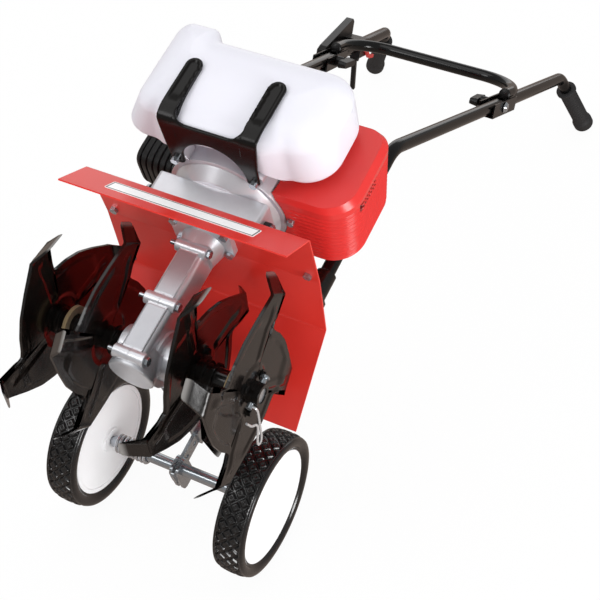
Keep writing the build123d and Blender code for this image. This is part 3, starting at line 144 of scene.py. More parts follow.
# What each surface is made of, and how that was made. Grain finer than about half a millimetre would not
# show in a picture of the whole tiller, so grit is drawn coarser than the real one.
finishRecipes = {
    # Die-cast aluminium, shot-blasted: pale grey with a fine grain and soft corners
    "castAluminium": dict(colours=("#E6E7EC", "#D0D1D6"), mottleMm=28, gritMm=1.6, rough=(0.28, 0.35),
                          bump=0.05, metallic=0.62, edgeMm=1.6, edgeWearAndSheen="#E4E5E8", edgeWearAndSheenMm=1.5),
    # Milled aluminium faces: bright, with fine lines along the arm
    "milledAluminium": dict(colours=("#CDCED3", "#B0B1B6"), mottleMm=60, gritMm=2.5, rough=(0.28, 0.36),
                            bump=0.1, metallic=0.62, brush=(6, 0.15, 6), turn=(math.radians(72), 0, 0),
                            edgeMm=0.6),
    # Powder-coated steel sheet: strong red with a slight orange peel
    "redEnamel": dict(colours=("#DB342B", "#D32D25"), mottleMm=120, gritMm=5, rough=(0.29, 0.29),
                      bump=0.03, edgeMm=0.0, shader={"Specular IOR Level": 0.45}),
    # Moulded ABS: bright red, satin, with painted shade in its slots
    "redAbs": dict(colours=("#D93532", "#D02D2A"), mottleMm=90, gritMm=1.5, rough=(0.24, 0.24),
                   bump=0.03, edgeMm=0.8, masked="#120303", shader={"Specular IOR Level": 0.4}),
    # Black dipped enamel on stamped steel: a soft brownish sheen, bare at the ground tips
    "blackEnamel": dict(colours=("#0D0A09", "#130F0D"), mottleMm=60, gritMm=9, rough=(0.13, 0.18),
                        bump=0.03, edgeMm=1.2, masked="#9A9794", shader={"Specular IOR Level": 0.5}),
    # Gloss black powder coat on the handle tubes: deep, with sharp lights
    "blackGloss": dict(colours=("#080808", "#0C0B0B"), mottleMm=80, gritMm=4, rough=(0.12, 0.17),
                       bump=0.02, edgeMm=0.5, shader={"Specular IOR Level": 0.4}),
    # Moulded nylon: black, fine spark grain
    "blackNylon": dict(colours=("#0E0D0D", "#151414"), mottleMm=60, gritMm=0.9, rough=(0.32, 0.38),
                       bump=0.02, edgeMm=1.0, shader={"Specular IOR Level": 0.35}),
    # Satin black paint on the pressed tank bracket, with soft lights along its rolled edges
    "blackSatin": dict(colours=("#0B0908", "#100D0C"), mottleMm=80, gritMm=12, rough=(0.2, 0.24),
                       bump=0.01, edgeMm=1.4, shader={"Specular IOR Level": 0.26}),
    # Soft moulded rubber of the grips and bushes: dark grey and dull
    "gripRubber": dict(colours=("#1C1B1C", "#262526"), mottleMm=30, gritMm=0.8, rough=(0.6, 0.75),
                       bump=0.25, edgeMm=0.8),
    # Vulcanised tyre rubber, shiny from the mould, with a painted highlight in grey on its raised edges
    "tyreRubber": dict(colours=("#100F10", "#191818"), mottleMm=25, gritMm=2.4, rough=(0.15, 0.22),
                       bump=0.04, edgeMm=0.9, edgeWearAndSheen="#777574", edgeWearAndSheenMm=0.8,
                       shader={"Specular IOR Level": 0.6}),
    # Blow-moulded polyethylene tank: milky white
    "milkyPolyethylene": dict(colours=("#E0DFE8", "#E5E5ED"), mottleMm=90, gritMm=2.0, rough=(0.34, 0.44),
                              bump=0.05, edgeMm=0.6,
                              shader={"Subsurface Weight": 0.25,
                                      "Subsurface Radius": (0.012, 0.011, 0.012)}),
    # Moulded polypropylene wheels: clean white
    "whitePolypropylene": dict(colours=("#F6F6F8", "#F9F9FA"), mottleMm=80, gritMm=1.5, rough=(0.3, 0.4),
                               bump=0.05, edgeMm=1.0,
                               shader={"Subsurface Weight": 0.08,
                                       "Subsurface Radius": (0.004, 0.004, 0.004)}),
    # Zinc-plated steel: cool, slightly blue and yellow
    "zincSteel": dict(colours=("#A3ADB9", "#B6B8B8"), mottleMm=18, gritMm=3, rough=(0.14, 0.2),
                      bump=0.02, metallic=0.85, edgeMm=0.4),
    # Drawn spring wire and turned shafts: clean grey steel
    "drawnSteel": dict(colours=("#D2D4D8", "#BEC0C4"), mottleMm=20, gritMm=0.8, rough=(0.2, 0.26),
                       bump=0.04, metallic=0.8, edgeMm=0.3),
    # Bright plated wire of the spring clips
    "brightWire": dict(colours=("#F0F1F3", "#E4E5E8"), mottleMm=20, gritMm=0.8, rough=(0.14, 0.22),
                       bump=0.05, metallic=0.7, edgeMm=0.0),
    # Sintered bronze of the worm wheel: warm and speckled
    "sinteredBronze": dict(colours=("#A8793B", "#8F6631"), mottleMm=8, gritMm=0.6, rough=(0.35, 0.5),
                           bump=0.2, metallic=1.0, edgeMm=0.3),
    # Pressed wool felt: tan and fuzzy
    "woolFelt": dict(colours=("#8F7A58", "#A8926C"), mottleMm=3, gritMm=0.7, rough=(0.85, 0.95),
                     bump=0.8, edgeMm=0.4, shader={"Sheen Weight": 0.3}),
    # Blank vinyl label: smooth white film with a printed line round it
    "whiteVinyl": dict(colours=("#FBFCFC", "#FDFDFD"), mottleMm=50, gritMm=3, rough=(0.3, 0.36),
                       bump=0.03, edgeMm=0.0, masked="#141314"),
    # Sand-cast cylinder and crankcase: duller and rougher than the rest
    "darkCasting": dict(colours=("#8F9092", "#7B7C7E"), mottleMm=25, gritMm=1.4, rough=(0.42, 0.58),
                        bump=0.4, metallic=0.8, edgeMm=0.8, edgeWearAndSheen="#A9AAAC", edgeWearAndSheenMm=1.0),
    # Heat-proof black paint on the muffler: matt and uneven
    "heatBlack": dict(colours=("#222120", "#2F2C2A"), mottleMm=12, gritMm=1.5, rough=(0.55, 0.7),
                      bump=0.3, edgeMm=0.8),
    # Moulded red nylon of the stop lever
    "redNylon": dict(colours=("#C7201E", "#BB1A19"), mottleMm=30, gritMm=1.0, rough=(0.3, 0.4),
                     bump=0.1, edgeMm=0.8),
}
finishes = {name: makeFinish(name, recipe) for name, recipe in finishRecipes.items()}

nodeFinishes = {
    "castAluminium": ("gear_case_left", "gear_case_right", "gear_case_end_cap", "clutch_housing",
                      "fan_housing"),
    "redEnamel": ("guard",),
    "redAbs": ("engine_cover",),
    "blackEnamel": ("tine_hubs", "tine_left_outer", "tine_left_inner", "tine_right_inner",
                    "tine_right_outer", "handle_base"),
    "blackGloss": ("lower_handle_left", "lower_handle_right", "upper_handle_left", "upper_handle_right",
                   "crossbar"),
    "blackSatin": ("tank_bracket",),
    "blackNylon": ("air_filter", "starter_cover", "throttle_housing", "throttle_trigger", "wing_knob_left",
                   "wing_knob_right", "fuel_cap", "choke_lever", "spark_plug_cap"),
    "gripRubber": ("grip_left", "grip_right", "rubber_bushes"),
    "tyreRubber": ("tyre_left", "tyre_right"),
    "milkyPolyethylene": ("fuel_tank",),
    "whitePolypropylene": ("wheel_disc_left", "wheel_disc_right"),
    "zincSteel": ("hex_bolts", "socket_screws", "fold_bolts", "clevis_pins", "wheel_axle", "height_bar",
                  "wheel_arm"),
    "brightWire": ("spring_clips",),
    "drawnSteel": ("axle_spring", "bearings", "tine_shaft", "drive_shaft", "clutch_drum", "clutch_shoes",
                   "crankshaft"),
    "sinteredBronze": ("worm_wheel",),
    "woolFelt": ("felt_washers",),
    "whiteVinyl": ("label_strip",),
    "darkCasting": ("crankcase", "cylinder", "carburettor", "flywheel"),
    "heatBlack": ("muffler",),
    "redNylon": ("stop_lever",),
}
for finish, names in nodeFinishes.items():
    for name in names:
        nodes[name].data.materials.clear()
        nodes[name].data.materials.append(finishes[finish])
print("finishes:", len(finishes), "on", sum(len(names) for names in nodeFinishes.values()), "nodes")


# Quads of a grid of points; a wrapped direction joins its last row to its first
def gridFaces(rows, columns, wrapRows=False, wrapColumns=False, start=0):
    i = np.arange(rows if wrapRows else rows - 1)[:, None]
    j = np.arange(columns if wrapColumns else columns - 1)[None, :]
    a = i * columns + j
    b = i * columns + (j + 1) % columns
    c = (i + 1) % rows * columns + (j + 1) % columns
    d = (i + 1) % rows * columns + j
    return (np.stack((a, b, c, d), axis=-1).reshape(-1, 4) + start).tolist()


# A mesh object at the origin that rides on a body and stands for CAD nodes; crease is in degrees
def makePiece(name, points, faces, finish, body, standsFor=(), crease=35, mask=None):
    mesh = bpy.data.meshes.new(name)
    mesh.from_pydata(np.asarray(points, float).reshape(-1, 3).tolist(), [], faces)
    if mask is not None:
        layer = mesh.attributes.new("mask", "FLOAT", "POINT")
        layer.data.foreach_set("value", np.asarray(mask, np.float32).ravel())
    shape = bmesh.new()
    shape.from_mesh(mesh)
    bmesh.ops.remove_doubles(shape, verts=shape.verts, dist=1e-6)
    bmesh.ops.recalc_face_normals(shape, faces=shape.faces)
    shape.to_mesh(mesh)
    shape.free()
    mesh.shade_smooth()
    mesh.set_sharp_from_angle(angle=math.radians(crease))
    mesh.materials.append(finishes[finish])
    piece = bpy.data.objects.new(name, mesh)
    bpy.context.scene.collection.objects.link(piece)
    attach(piece, body)
    if standsFor:
        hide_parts(*standsFor)
    return piece


# Several meshes as one: their points in a row, and each mesh's faces counted on from the last
def joined(meshes):
    points, faces = [], []
    for part, partFaces in meshes:
        start = sum(map(len, points))
        faces += [[corner + start for corner in face] for face in partFaces]
        points.append(np.reshape(part, (-1, 3)))
    return np.concatenate(points), faces


# A smooth step from 0 at low to 1 at high
def ramp(value, low, high):
    t = np.clip((value - low) / (high - low), 0, 1)
    return t * t * (3 - 2 * t)


# How far a rounded corner of that radius falls short of square, at a distance from the end
def cornerDrop(distance, radius):
    inside = np.clip(radius - distance, 0, radius)
    return radius - np.sqrt(radius ** 2 - inside ** 2)


# Points from start to end, spaced closer towards both by half a cosine wave
def easedSteps(start, end, count):
    return start + (end - start) * (1 - np.cos(math.pi * np.linspace(0, 1, count))) / 2


# Straight runs from each corner of a closed outline to the next, cut into equal steps
def divided(corners, count):
    steps = np.linspace(0, 1, count, endpoint=False)[None, :, None]
    return (corners[:, None] + (np.roll(corners, -1, axis=0) - corners)[:, None] * steps).reshape(-1, 2)


# Columns across a flat shape whose edge is low(x) to high(x): the grid, and each point's distance to the
# nearest of many points along the edge
def edgeGrid(x, low, high, rows):
    stepsPerSide = 6
    t = (1 - np.cos(math.pi * np.linspace(0, 1, rows))) / 2
    across = np.repeat(x[:, None], rows, axis=1)
    along = low[:, None] + (high - low)[:, None] * t
    first, last = (np.stack((across[k], along[k]), axis=1) for k in (0, -1))
    lowEdge, highEdge = (np.stack((x, end), axis=1) for end in (low, high))
    rim = divided(np.concatenate((lowEdge, last, highEdge[::-1], first[::-1])), stepsPerSide)
    distance = np.array([np.sqrt(((column[:, None] - rim[None]) ** 2).sum(-1)).min(1)
                         for column in np.stack((across, along), axis=-1)])
    return across, along, distance


# Joins a front and a back grid along their edges into one closed shell
def closedShell(front, back):
    rows, columns = front.shape[:2]
    points = np.concatenate((front.reshape(-1, 3), back.reshape(-1, 3)))
    index = np.arange(rows * columns).reshape(rows, columns)
    rim = np.concatenate((index[:, 0], index[-1, 1:], index[::-1, -1][1:], index[0, ::-1][1:-1]))
    after = np.roll(rim, -1)
    walls = np.stack((rim, after, after + rows * columns, rim + rows * columns), axis=1).tolist()
    return points, gridFaces(rows, columns) + gridFaces(rows, columns, start=rows * columns) + walls


# A profile of (distance along, radius) turned round an axis
def turned(foot, direction, profile, steps):
    offAxis = (0.31, 0.53, 0.79)
    direction = np.asarray(direction, float) / np.linalg.norm(direction)
    side = np.cross(direction, offAxis)
    side /= np.linalg.norm(side)
    other = np.cross(direction, side)
    angle = np.linspace(0, 2 * math.pi, steps, endpoint=False)
    ring = np.cos(angle)[:, None] * side + np.sin(angle)[:, None] * other
    profile = np.asarray(profile, float)
    along, radius = profile[:, 0, None, None], profile[:, 1, None, None]
    points = np.asarray(foot) + along * direction + radius * ring[None]
    return points, gridFaces(len(profile), steps, False, True)


# A smooth line through corners: each run is cut a quarter and three quarters along, again and again
def rounded(corners, passes):
    line = np.asarray(corners, float)
    for _ in range(passes):
        near, far = line[:-1] * 0.75 + line[1:] * 0.25, line[:-1] * 0.25 + line[1:] * 0.75
        line = np.concatenate((line[:1], np.stack((near, far), axis=1).reshape(-1, 3), line[-1:]))
    return line


# A round wire along a line of points in metres, with flat ends: a ring at each point, in a frame that
# turns with the line as little as it can
def wireMesh(path, radius, steps):
    offPath = (0.3, 0.5, 0.81)
    tangent = np.gradient(path, axis=0)
    tangent /= np.linalg.norm(tangent, axis=1, keepdims=True)
    side = np.cross(tangent[0], offPath)
    sides = [side / np.linalg.norm(side)]
    for t in tangent[1:]:
        side = sides[-1] - t * (sides[-1] @ t)
        sides.append(side / np.linalg.norm(side))
    sides = np.array(sides)
    other = np.cross(tangent, sides)
    angle = np.linspace(0, 2 * math.pi, steps, endpoint=False)
    section = np.stack((np.cos(angle), np.sin(angle)), axis=1)[None] * radius / mmPerMetre
    rows = path[:, None] + section[..., 0:1] * sides[:, None] + section[..., 1:2] * other[:, None]
    last = (len(path) - 1) * steps
    ends = [list(range(steps))[::-1], list(range(last, last + steps))]
    return rows.reshape(-1, 3), gridFaces(len(path), steps, False, True) + ends


# Tyres: a rounded section turned round the axle, with a lattice of diamond blocks pressed into the tread.
# The wall runs in (across, radius) from the tread's edge to the seat on the wheel disc.
tyreLook = dict(track=128, half=22, radius=100, steps=900, across=64, treadInset=1.2, crown=3.2,
                crownPower=3.2, wall=((21.7, 94), (22, 91), (21.6, 88), (20.4, 85.2), (19.4, 84),
                                      (17.6, 83.2), (17, 81.2), (16.4, 80.2)),
                blocks=34, slope=1.02, shoulder=7, treadHalf=17.2, treadFade=0.6, groove=3.4,
                grooveSlope=(0.27, 0.43), pit=1.3, pitSlope=(0.08, 0.13), ring=0.9, ringOut=0.9,
                ringSlope=(0.2, 0.9))


# The tread falls from its middle by a power of the distance across, then come the right and left walls
def tyreSection(look):
    t = np.linspace(-1, 1, look["across"])
    fall = look["crown"] * np.abs(t) ** look["crownPower"]
    tread = np.stack((t * (look["half"] - look["treadInset"]), look["radius"] - fall), axis=1)
    wall = np.array(look["wall"])
    return np.concatenate((tread, wall, wall[::-1] * (-1, 1)))


# The section turns round the axle, its radius less the cut: grooves along two sets of slanting lines,
# a small square pit in each block, and a shallow ring beside the tread
def buildTyre(word, hand, look):
    section = tyreSection(look)
    angle = np.linspace(0, 2 * math.pi, look["steps"], endpoint=False)[:, None]
    across, radius = section[:, 0][None, :], section[:, 1][None, :]
    pitch = 2 * math.pi * look["radius"] / look["blocks"]
    along = angle * look["radius"]
    first, second = (np.abs((along + way * across * look["slope"]) / pitch % 1 - 0.5) for way in (1, -1))
    line = np.maximum(first, second)  # 0.5 on the lines of the lattice, 0 in the middle of a block
    top = radius > look["radius"] - look["shoulder"]
    onTread = top * (1 - ramp(np.abs(across), look["treadHalf"] - look["treadFade"], look["treadHalf"]))
    cut = (look["groove"] * ramp(line, *look["grooveSlope"])
           + look["pit"] * (1 - ramp(line, *look["pitSlope"])))
    fromRing = np.abs(np.abs(across) - look["treadHalf"] - look["ringOut"])
    ring = look["ring"] * top * (1 - ramp(fromRing, *look["ringSlope"]))
    depth = radius - onTread * cut - ring
    points = np.stack(np.broadcast_arrays(hand * look["track"] + across + 0 * angle,
                                          stance["wheelBack"] + depth * np.cos(angle),
                                          -stance["wheelDrop"] + depth * np.sin(angle)), axis=-1)
    faces = gridFaces(look["steps"], section.shape[0], True, True)
    return makePiece("tread_" + word, place(points), faces, "tyreRubber", "wheel_" + word,
                     ("tyre_" + word,), crease=50)


for word, hand in hands:
    buildTyre(word, hand, tyreLook)
print("tyres done")

# Tine stars: a flat outline in polar steps, pressed ribs and panels, and tips folded along a line.
# The back edge of an arm is in (degrees, radius); the pressings start and end at distances from the shaft.
tineLook = dict(hub=14.6, thick=4, columns=44, crowding=0.8, edgeSteps=10, softenings=2, fold=119, tip=30,
                bend=47, foldFrom=-4, foldRound=5, foldEdges=(-13, 15), tipEdges=(-27, -2),
                backEdge=((24, 98), (42, 87), (60, 80), (74, 77), (80.5, 79)), press=1.8, rimWidth=8,
                rimFade=5, panelStart=(30, 37), panelEnd=(76, 92), ribSide=2, ribEdges=(3, 8),
                ribStart=(34, 44), ribEnd=(96, 110), ground=8, groundThin=0.65, groundBare=0.7)
# each star's place along the shaft, its turn in degrees, and which way its four tips lean
tineStations = {"left_outer": (-134, 80, (1, 1, 1, 1)), "left_inner": (-65, 35, (1, -1, 1, -1)),
                "right_inner": (65, 80, (-1, 1, -1, 1)), "right_outer": (134, 35, (-1, -1, -1, -1))}


# The tip first, then the swept back edge of the arm, one quarter at a time; its corners are softened by
# mixing each point with its two neighbours
def tineOutline(look):
    fold, far = look["fold"], look["fold"] + look["tip"]
    corners = [(look["foldEdges"][0], fold), (look["tipEdges"][0], far), (look["tipEdges"][1], far),
               (look["foldEdges"][1], fold)]
    tip = [(math.degrees(math.atan2(a, q)), math.hypot(a, q)) for a, q in corners]
    quarter = np.array(tip + list(look["backEdge"]))
    star = np.concatenate([quarter + (90 * turn, 0) for turn in range(4)])
    angle, radius = np.radians(star[:, 0]), star[:, 1]
    rim = divided(np.stack((radius * np.cos(angle), radius * np.sin(angle)), axis=1), look["edgeSteps"])
    for _ in range(look["softenings"]):
        rim = (np.roll(rim, 1, axis=0) + 2 * rim + np.roll(rim, -1, axis=0)) / 4
    return rim


# Rows from the hub to the outline, moved sideways by the pressing. Past the fold a point turns by the bend:
# its way out shrinks by 1 - cos and its way sideways grows by sin. Then the star turns on its shaft.
def buildTine(word, look):
    station, turn, leans = tineStations[word]
    rim = tineOutline(look)
    angle = np.arctan2(rim[:, 1], rim[:, 0])
    share = np.linspace(0, 1, look["columns"])[:, None, None]
    inner = np.stack((np.cos(angle), np.sin(angle)), axis=1) * look["hub"]
    flat = inner[None] + (rim - inner)[None] * share ** look["crowding"]
    radius = np.linalg.norm(flat, axis=-1)
    quarter = np.round(np.degrees(np.arctan2(flat[..., 1], flat[..., 0])) / 90)
    heading = quarter * math.pi / 2
    out = flat[..., 0] * np.cos(heading) + flat[..., 1] * np.sin(heading)
    across = flat[..., 1] * np.cos(heading) - flat[..., 0] * np.sin(heading)
    edge = np.linalg.norm(rim, axis=1)[None, :] - radius
    panel = (ramp(edge, look["rimWidth"], look["rimWidth"] + look["rimFade"])
             * ramp(radius, *look["panelStart"]) * (1 - ramp(out, *look["panelEnd"])))
    rib = ((1 - ramp(np.abs(across - look["ribSide"]), *look["ribEdges"]))
           * ramp(radius, *look["ribStart"]) * (1 - ramp(out, *look["ribEnd"])))
    press = look["press"] * (rib - panel) * np.sign(station)
    bend = math.radians(look["bend"])
    past = np.maximum(out - look["fold"], 0)
    soft = past * ramp(past, look["foldFrom"], look["foldRound"])
    newOut = np.minimum(out, look["fold"]) + past - soft * (1 - math.cos(bend))
    shift = np.array(leans)[quarter.astype(int) % 4] * soft * math.sin(bend)
    flatOut = np.stack((newOut * np.cos(heading) - across * np.sin(heading),
                        newOut * np.sin(heading) + across * np.cos(heading)), axis=-1)
    spun = math.radians(turn)
    y = stance["tineShaftBack"] + flatOut[..., 0] * math.cos(spun) - flatOut[..., 1] * math.sin(spun)
    z = flatOut[..., 0] * math.sin(spun) + flatOut[..., 1] * math.cos(spun)
    farEnd = look["fold"] + look["tip"]
    groundShare = ramp(out, farEnd - look["ground"], farEnd)
    half = look["thick"] / 2 * (1 - look["groundThin"] * groundShare)  # ground to an edge at the tip
    front, back = (np.stack((station + press + shift + way * half, y, z), axis=-1) for way in (1, -1))
    shell = np.concatenate((front, back[::-1]))
    bare = np.concatenate((groundShare, groundShare[::-1])) * look["groundBare"]
    faces = gridFaces(shell.shape[0], shell.shape[1], True, True)
    return makePiece("star_" + word, place(shell), faces, "blackEnamel", "tines", ("tine_" + word,),
                     crease=40, mask=bare)


for word in tineStations:
    buildTine(word, tineLook)
print("tine stars done")

# Bolts that hold each star to its hub collar: a washer and a hexagon head in (height, radius)
starBoltLook = dict(ring=27, out=2, sides=6, count=3, offset=45,
                    profile=((-1, 7.5), (0.9, 7.5), (1, 5.2), (4.4, 5.2), (5, 4.4), (5, 0.2)))


# The profile turned round lines along the shaft, at even angles on a ring
def buildStarBolts(look):
    bolts = []
    for station, turn, _ in tineStations.values():
        outward = np.sign(station)
        for k in range(look["count"]):
            angle = math.radians(turn + look["offset"] + 360 * k / look["count"])
            foot = (station + outward * look["out"],
                    stance["tineShaftBack"] + look["ring"] * math.cos(angle), look["ring"] * math.sin(angle))
            bolts.append(turned(foot, (outward, 0, 0), look["profile"], look["sides"]))
    points, faces = joined(bolts)
    return makePiece("star_bolts", place(points), faces, "blackGloss", "tines", crease=20)


buildStarBolts(starBoltLook)
print("star bolts done")

# Fuel tank: an outline seen from the front, rounded towards its edge, hollowed behind for the engine.
# The left side slants, so that the back is wider than the front. Corners are radii at the left and right.
tankLook = dict(left=-132, right=138, front=-146, back=-48, low=233, high=356, columns=170, rows=72,
                chin=219, chinHalf=60, chinFade=34, shoulder=17, shoulderRight=-66, shoulderFade=(-8, 14),
                topCorners=(22, 40), lowCorners=(32, 46), slant=26, slantFade=-56, edge=34, frontShare=0.75,
                backShare=0.62, squareShare=0.6, squareUp=(14, -10), squareHalf=(-24, 6), crown=5,
                crownFade=70, saddle=60.5, fanRoom=103.5, fanTop=244.5, leastWall=2, step=338,
                stepUp=(-1, 2), stepFront=-98, stepSides=(-92, -28), stepFade=3)
# the filler neck's place, and its profile in (height over its foot, radius)
neckLook = dict(place=(-60, -72), sunk=6, steps=40,
                profile=((0, 0.5), (0, 15), (16, 15), (17, 14), (17, 0.5)))


# Front and back are depths over the outline: flat in the middle, and curved in by a quarter circle near the
# edge. The back stops at two cylinders round the engine and at a step under the filler neck.
def buildTank(look, neck):
    x = easedSteps(look["left"], look["right"], look["columns"])
    fromLeft, fromRight = x - look["left"], look["right"] - x
    shoulderStart, shoulderEnd = (look["shoulderRight"] + fade for fade in look["shoulderFade"])
    top = look["high"] + look["shoulder"] * (1 - ramp(x, shoulderStart, shoulderEnd))
    high = top - cornerDrop(fromLeft, look["topCorners"][0]) - cornerDrop(fromRight, look["topCorners"][1])
    chin = 1 - ramp(np.abs(x), look["chinHalf"], look["chinHalf"] + look["chinFade"])
    low = (look["low"] - (look["low"] - look["chin"]) * chin
           + cornerDrop(fromLeft, look["lowCorners"][0]) + cornerDrop(fromRight, look["lowCorners"][1]))
    across, up, edge = edgeGrid(x, low, high, look["rows"])
    inset = cornerDrop(edge, look["edge"])
    bulge = look["crown"] * (1 - ramp(edge, 0, look["crownFade"]))  # the front swells towards its middle
    # above the bracket the front runs down square
    square = (ramp(up, *(look["low"] + fade for fade in look["squareUp"]))
              * (1 - ramp(np.abs(across), *(look["chinHalf"] + fade for fade in look["squareHalf"]))))
    front = look["front"] + bulge + inset * (look["frontShare"] - look["squareShare"] * square)
    saddle, fan = (-np.sqrt(np.maximum(radius ** 2 - across ** 2, 0.0))
                   for radius in (look["saddle"], look["fanRoom"]))
    back = np.minimum(look["back"] - inset * look["backShare"], saddle)
    back = np.where(up < look["fanTop"], np.minimum(back, fan), back)
    stepLeft, stepRight = look["stepSides"]
    inStep = (ramp(across, stepLeft, stepLeft + look["stepFade"])
              * (1 - ramp(across, stepRight - look["stepFade"], stepRight))
              * ramp(up, *(look["step"] + fade for fade in look["stepUp"])))
    back = np.minimum(back, look["back"] + (look["stepFront"] - look["back"]) * inStep)
    back = np.maximum(back, front + look["leastWall"])
    middle, reach = (look["front"] + look["back"]) / 2, (look["back"] - look["front"]) / 2
    slide = look["slant"] * np.clip((look["slantFade"] - across) / (look["slantFade"] - look["left"]), 0, 1)
    shells = [np.stack((across - slide * (y - middle) / reach, y, up), axis=-1) for y in (front, back)]
    neckFoot = (*neck["place"], look["step"] - neck["sunk"])
    neckMesh = turned(neckFoot, (0, 0, 1), neck["profile"], neck["steps"])
    points, faces = joined((closedShell(*shells), neckMesh))
    return makePiece("tank_shell", place(points), faces, "milkyPolyethylene", "frame", ("fuel_tank",),
                     crease=50)


buildTank(tankLook, neckLook)
print("tank done")

# Tank bracket: a plate bent along a line from its feet to its arms, its edges rolled and its arms pressed.
# The line is in (rearward, up): two runs for the feet, one for the bend and one for the arms.
bracketLook = dict(half=67, gap=45, thick=5, rows=70, armColumns=34, gapColumns=100, split=0.01,
                   path=((-66, 211.5), (-100, 211.5), (-144, 215.5), (-149, 231.5), (-149, 294)),
                   runSteps=40, bendSteps=25, bridge=-141, forkCorner=18, footCorner=9, footInset=1, taper=7,
                   taperFrom=20, top=305, arch=46, archBack=-71, rolled=2.2, rolledShare=0.9, press=2.4,
                   pressEdge=(3.6, 6), pressFade=18)


# The plate is a flat grid of (across, distance along the line). Each point goes to the line at that
# distance, and then out by half the thickness, less near an edge and less on the pressed arms.
def buildBracket(look):
    path = np.array(look["path"], float)
    runs = [np.linspace(a, b, look["runSteps"], endpoint=False) for a, b in zip(path[:-1], path[1:])]
    window = np.hanning(look["bendSteps"])
    kernel = window / window.sum()  # rounds the bends
    margin = look["bendSteps"] // 2
    padded = np.pad(np.concatenate(runs + [path[-1:]]), ((margin, margin), (0, 0)), mode="reflect",
                    reflect_type="odd")
    fine = np.stack([np.convolve(padded[:, k], kernel, mode="valid") for k in (0, 1)], axis=1)
    reach = np.concatenate(((0,), np.cumsum(np.linalg.norm(np.diff(fine, axis=0), axis=1))))
    upright = look["runSteps"] * (len(runs) - 1)  # where the arms' run starts
    footBack, footReach = -fine[:upright, 0], reach[:upright]
    half, gap, split = look["half"], look["gap"], look["split"]
    arm = (half - gap) / 2
    x = np.concatenate((easedSteps(-half, -gap - split, look["armColumns"]),
                        easedSteps(-gap + split, gap - split, look["gapColumns"]),
                        easedSteps(gap + split, half, look["armColumns"])))
    onArm = np.abs(x) > gap
    fromArm = np.abs(np.abs(x) - gap - arm)
    armEnd = reach[-1] + look["top"] - path[-1, 1] - cornerDrop(arm - fromArm, arm)
    bridge = (np.interp(-look["bridge"], footBack, footReach)
              + cornerDrop(gap - np.abs(x), look["forkCorner"]))
    high = np.where(onArm, armEnd, bridge)
    archY = look["archBack"] - np.sqrt(np.maximum(look["arch"] ** 2 - x ** 2, 0))
    footEnd = cornerDrop(arm + look["footInset"] - fromArm, look["footCorner"])
    inArch = np.maximum(np.interp(-archY, footBack, footReach), footEnd * onArm)
    low = np.where(np.abs(x) < look["arch"], inArch, footEnd)
    across, along, edge = edgeGrid(x, low, high, look["rows"])
    narrowing = (1 - ramp(along, 0, reach[upright])) * ramp(np.abs(across), look["taperFrom"], half)
    across = across * (1 - look["taper"] / half * narrowing)
    flatY = np.interp(along, reach, fine[:, 0])
    flatZ = np.interp(along, reach, fine[:, 1]) + np.maximum(along - reach[-1], 0)
    tangentY, tangentZ = (np.interp(along, reach, np.gradient(fine[:, k], reach)) for k in (0, 1))
    thick = look["thick"] / 2 - cornerDrop(edge, look["rolled"]) * look["rolledShare"]
    pressed = (look["press"] * ramp(edge, *look["pressEdge"])
               * ramp(along, reach[upright], reach[upright] + look["pressFade"]) * (np.abs(across) > gap))
    front, back = (np.stack((across, flatY - tangentZ * out, flatZ + tangentY * out), axis=-1)
                   for out in (thick - pressed, -thick))
    points, faces = closedShell(front, back)
    return makePiece("tank_fork", place(points), faces, "blackSatin", "frame", ("tank_bracket",), crease=45)


buildBracket(bracketLook)
print("bracket done")

# Engine cover: an outline of three sides and two round corners carried from the front to the back, with
# pressed grooves, closed by its front and back faces, and open towards the engine
coverLook = dict(near=62, far=171, low=216, high=352, front=-46, shoulder=-37, back=80, wall=2.4, edge=7,
                 shrink=9, lowRound=42, highRound=26, backRound=14, fan=81, fanTop=241, rows=260,
                 flatSteps=16, cornerSteps=16, wallSteps=60, faceRows=14, ribs=11, start=-20, pitch=8.2,
                 width=2.6, depth=1.6, plain=26, plainFade=2, ventY=(-29, -11), ventZ=(252, 296),
                 ventPitch=5.5, ventDepth=2.6, ventFade=1, slotEdge=(0.2, 0.3))


# Along the bottom, round the low corner, up the outer wall, round the high corner and back along the top
def coverOutline(look, y, inset):
    edge = look["edge"] * np.clip((look["shoulder"] - y) / (look["shoulder"] - look["front"]), 0, 1)
    shrink = look["shrink"] * np.clip((y - look["shoulder"]) / (look["back"] - look["shoulder"]), 0, 1)
    right = look["far"] - edge - shrink - inset
    low, high = look["low"] + edge / 2 + inset, look["high"] - edge / 2 - shrink - inset
    turn = np.linspace(0, math.pi / 2, look["cornerSteps"])
    r0, r1 = look["lowRound"] - edge / 2, look["highRound"] - edge / 2
    flat, upright = look["flatSteps"], look["wallSteps"]
    bottom = np.stack((np.linspace(look["near"], right - r0, flat), np.full(flat, low)), axis=1)
    lowArc = np.stack((right - r0 + r0 * np.sin(turn), low + r0 - r0 * np.cos(turn)), axis=1)[1:]
    wall = np.stack((np.full(upright, right), np.linspace(low + r0, high - r1, upright)), axis=1)[1:]
    highArc = np.stack((right - r1 + r1 * np.cos(turn), high - r1 + r1 * np.sin(turn)), axis=1)[1:]
    top = np.stack((np.linspace(right - r1, look["near"], flat), np.full(flat, high)), axis=1)[1:]
    return np.concatenate((bottom, lowArc, wall, highArc, top))


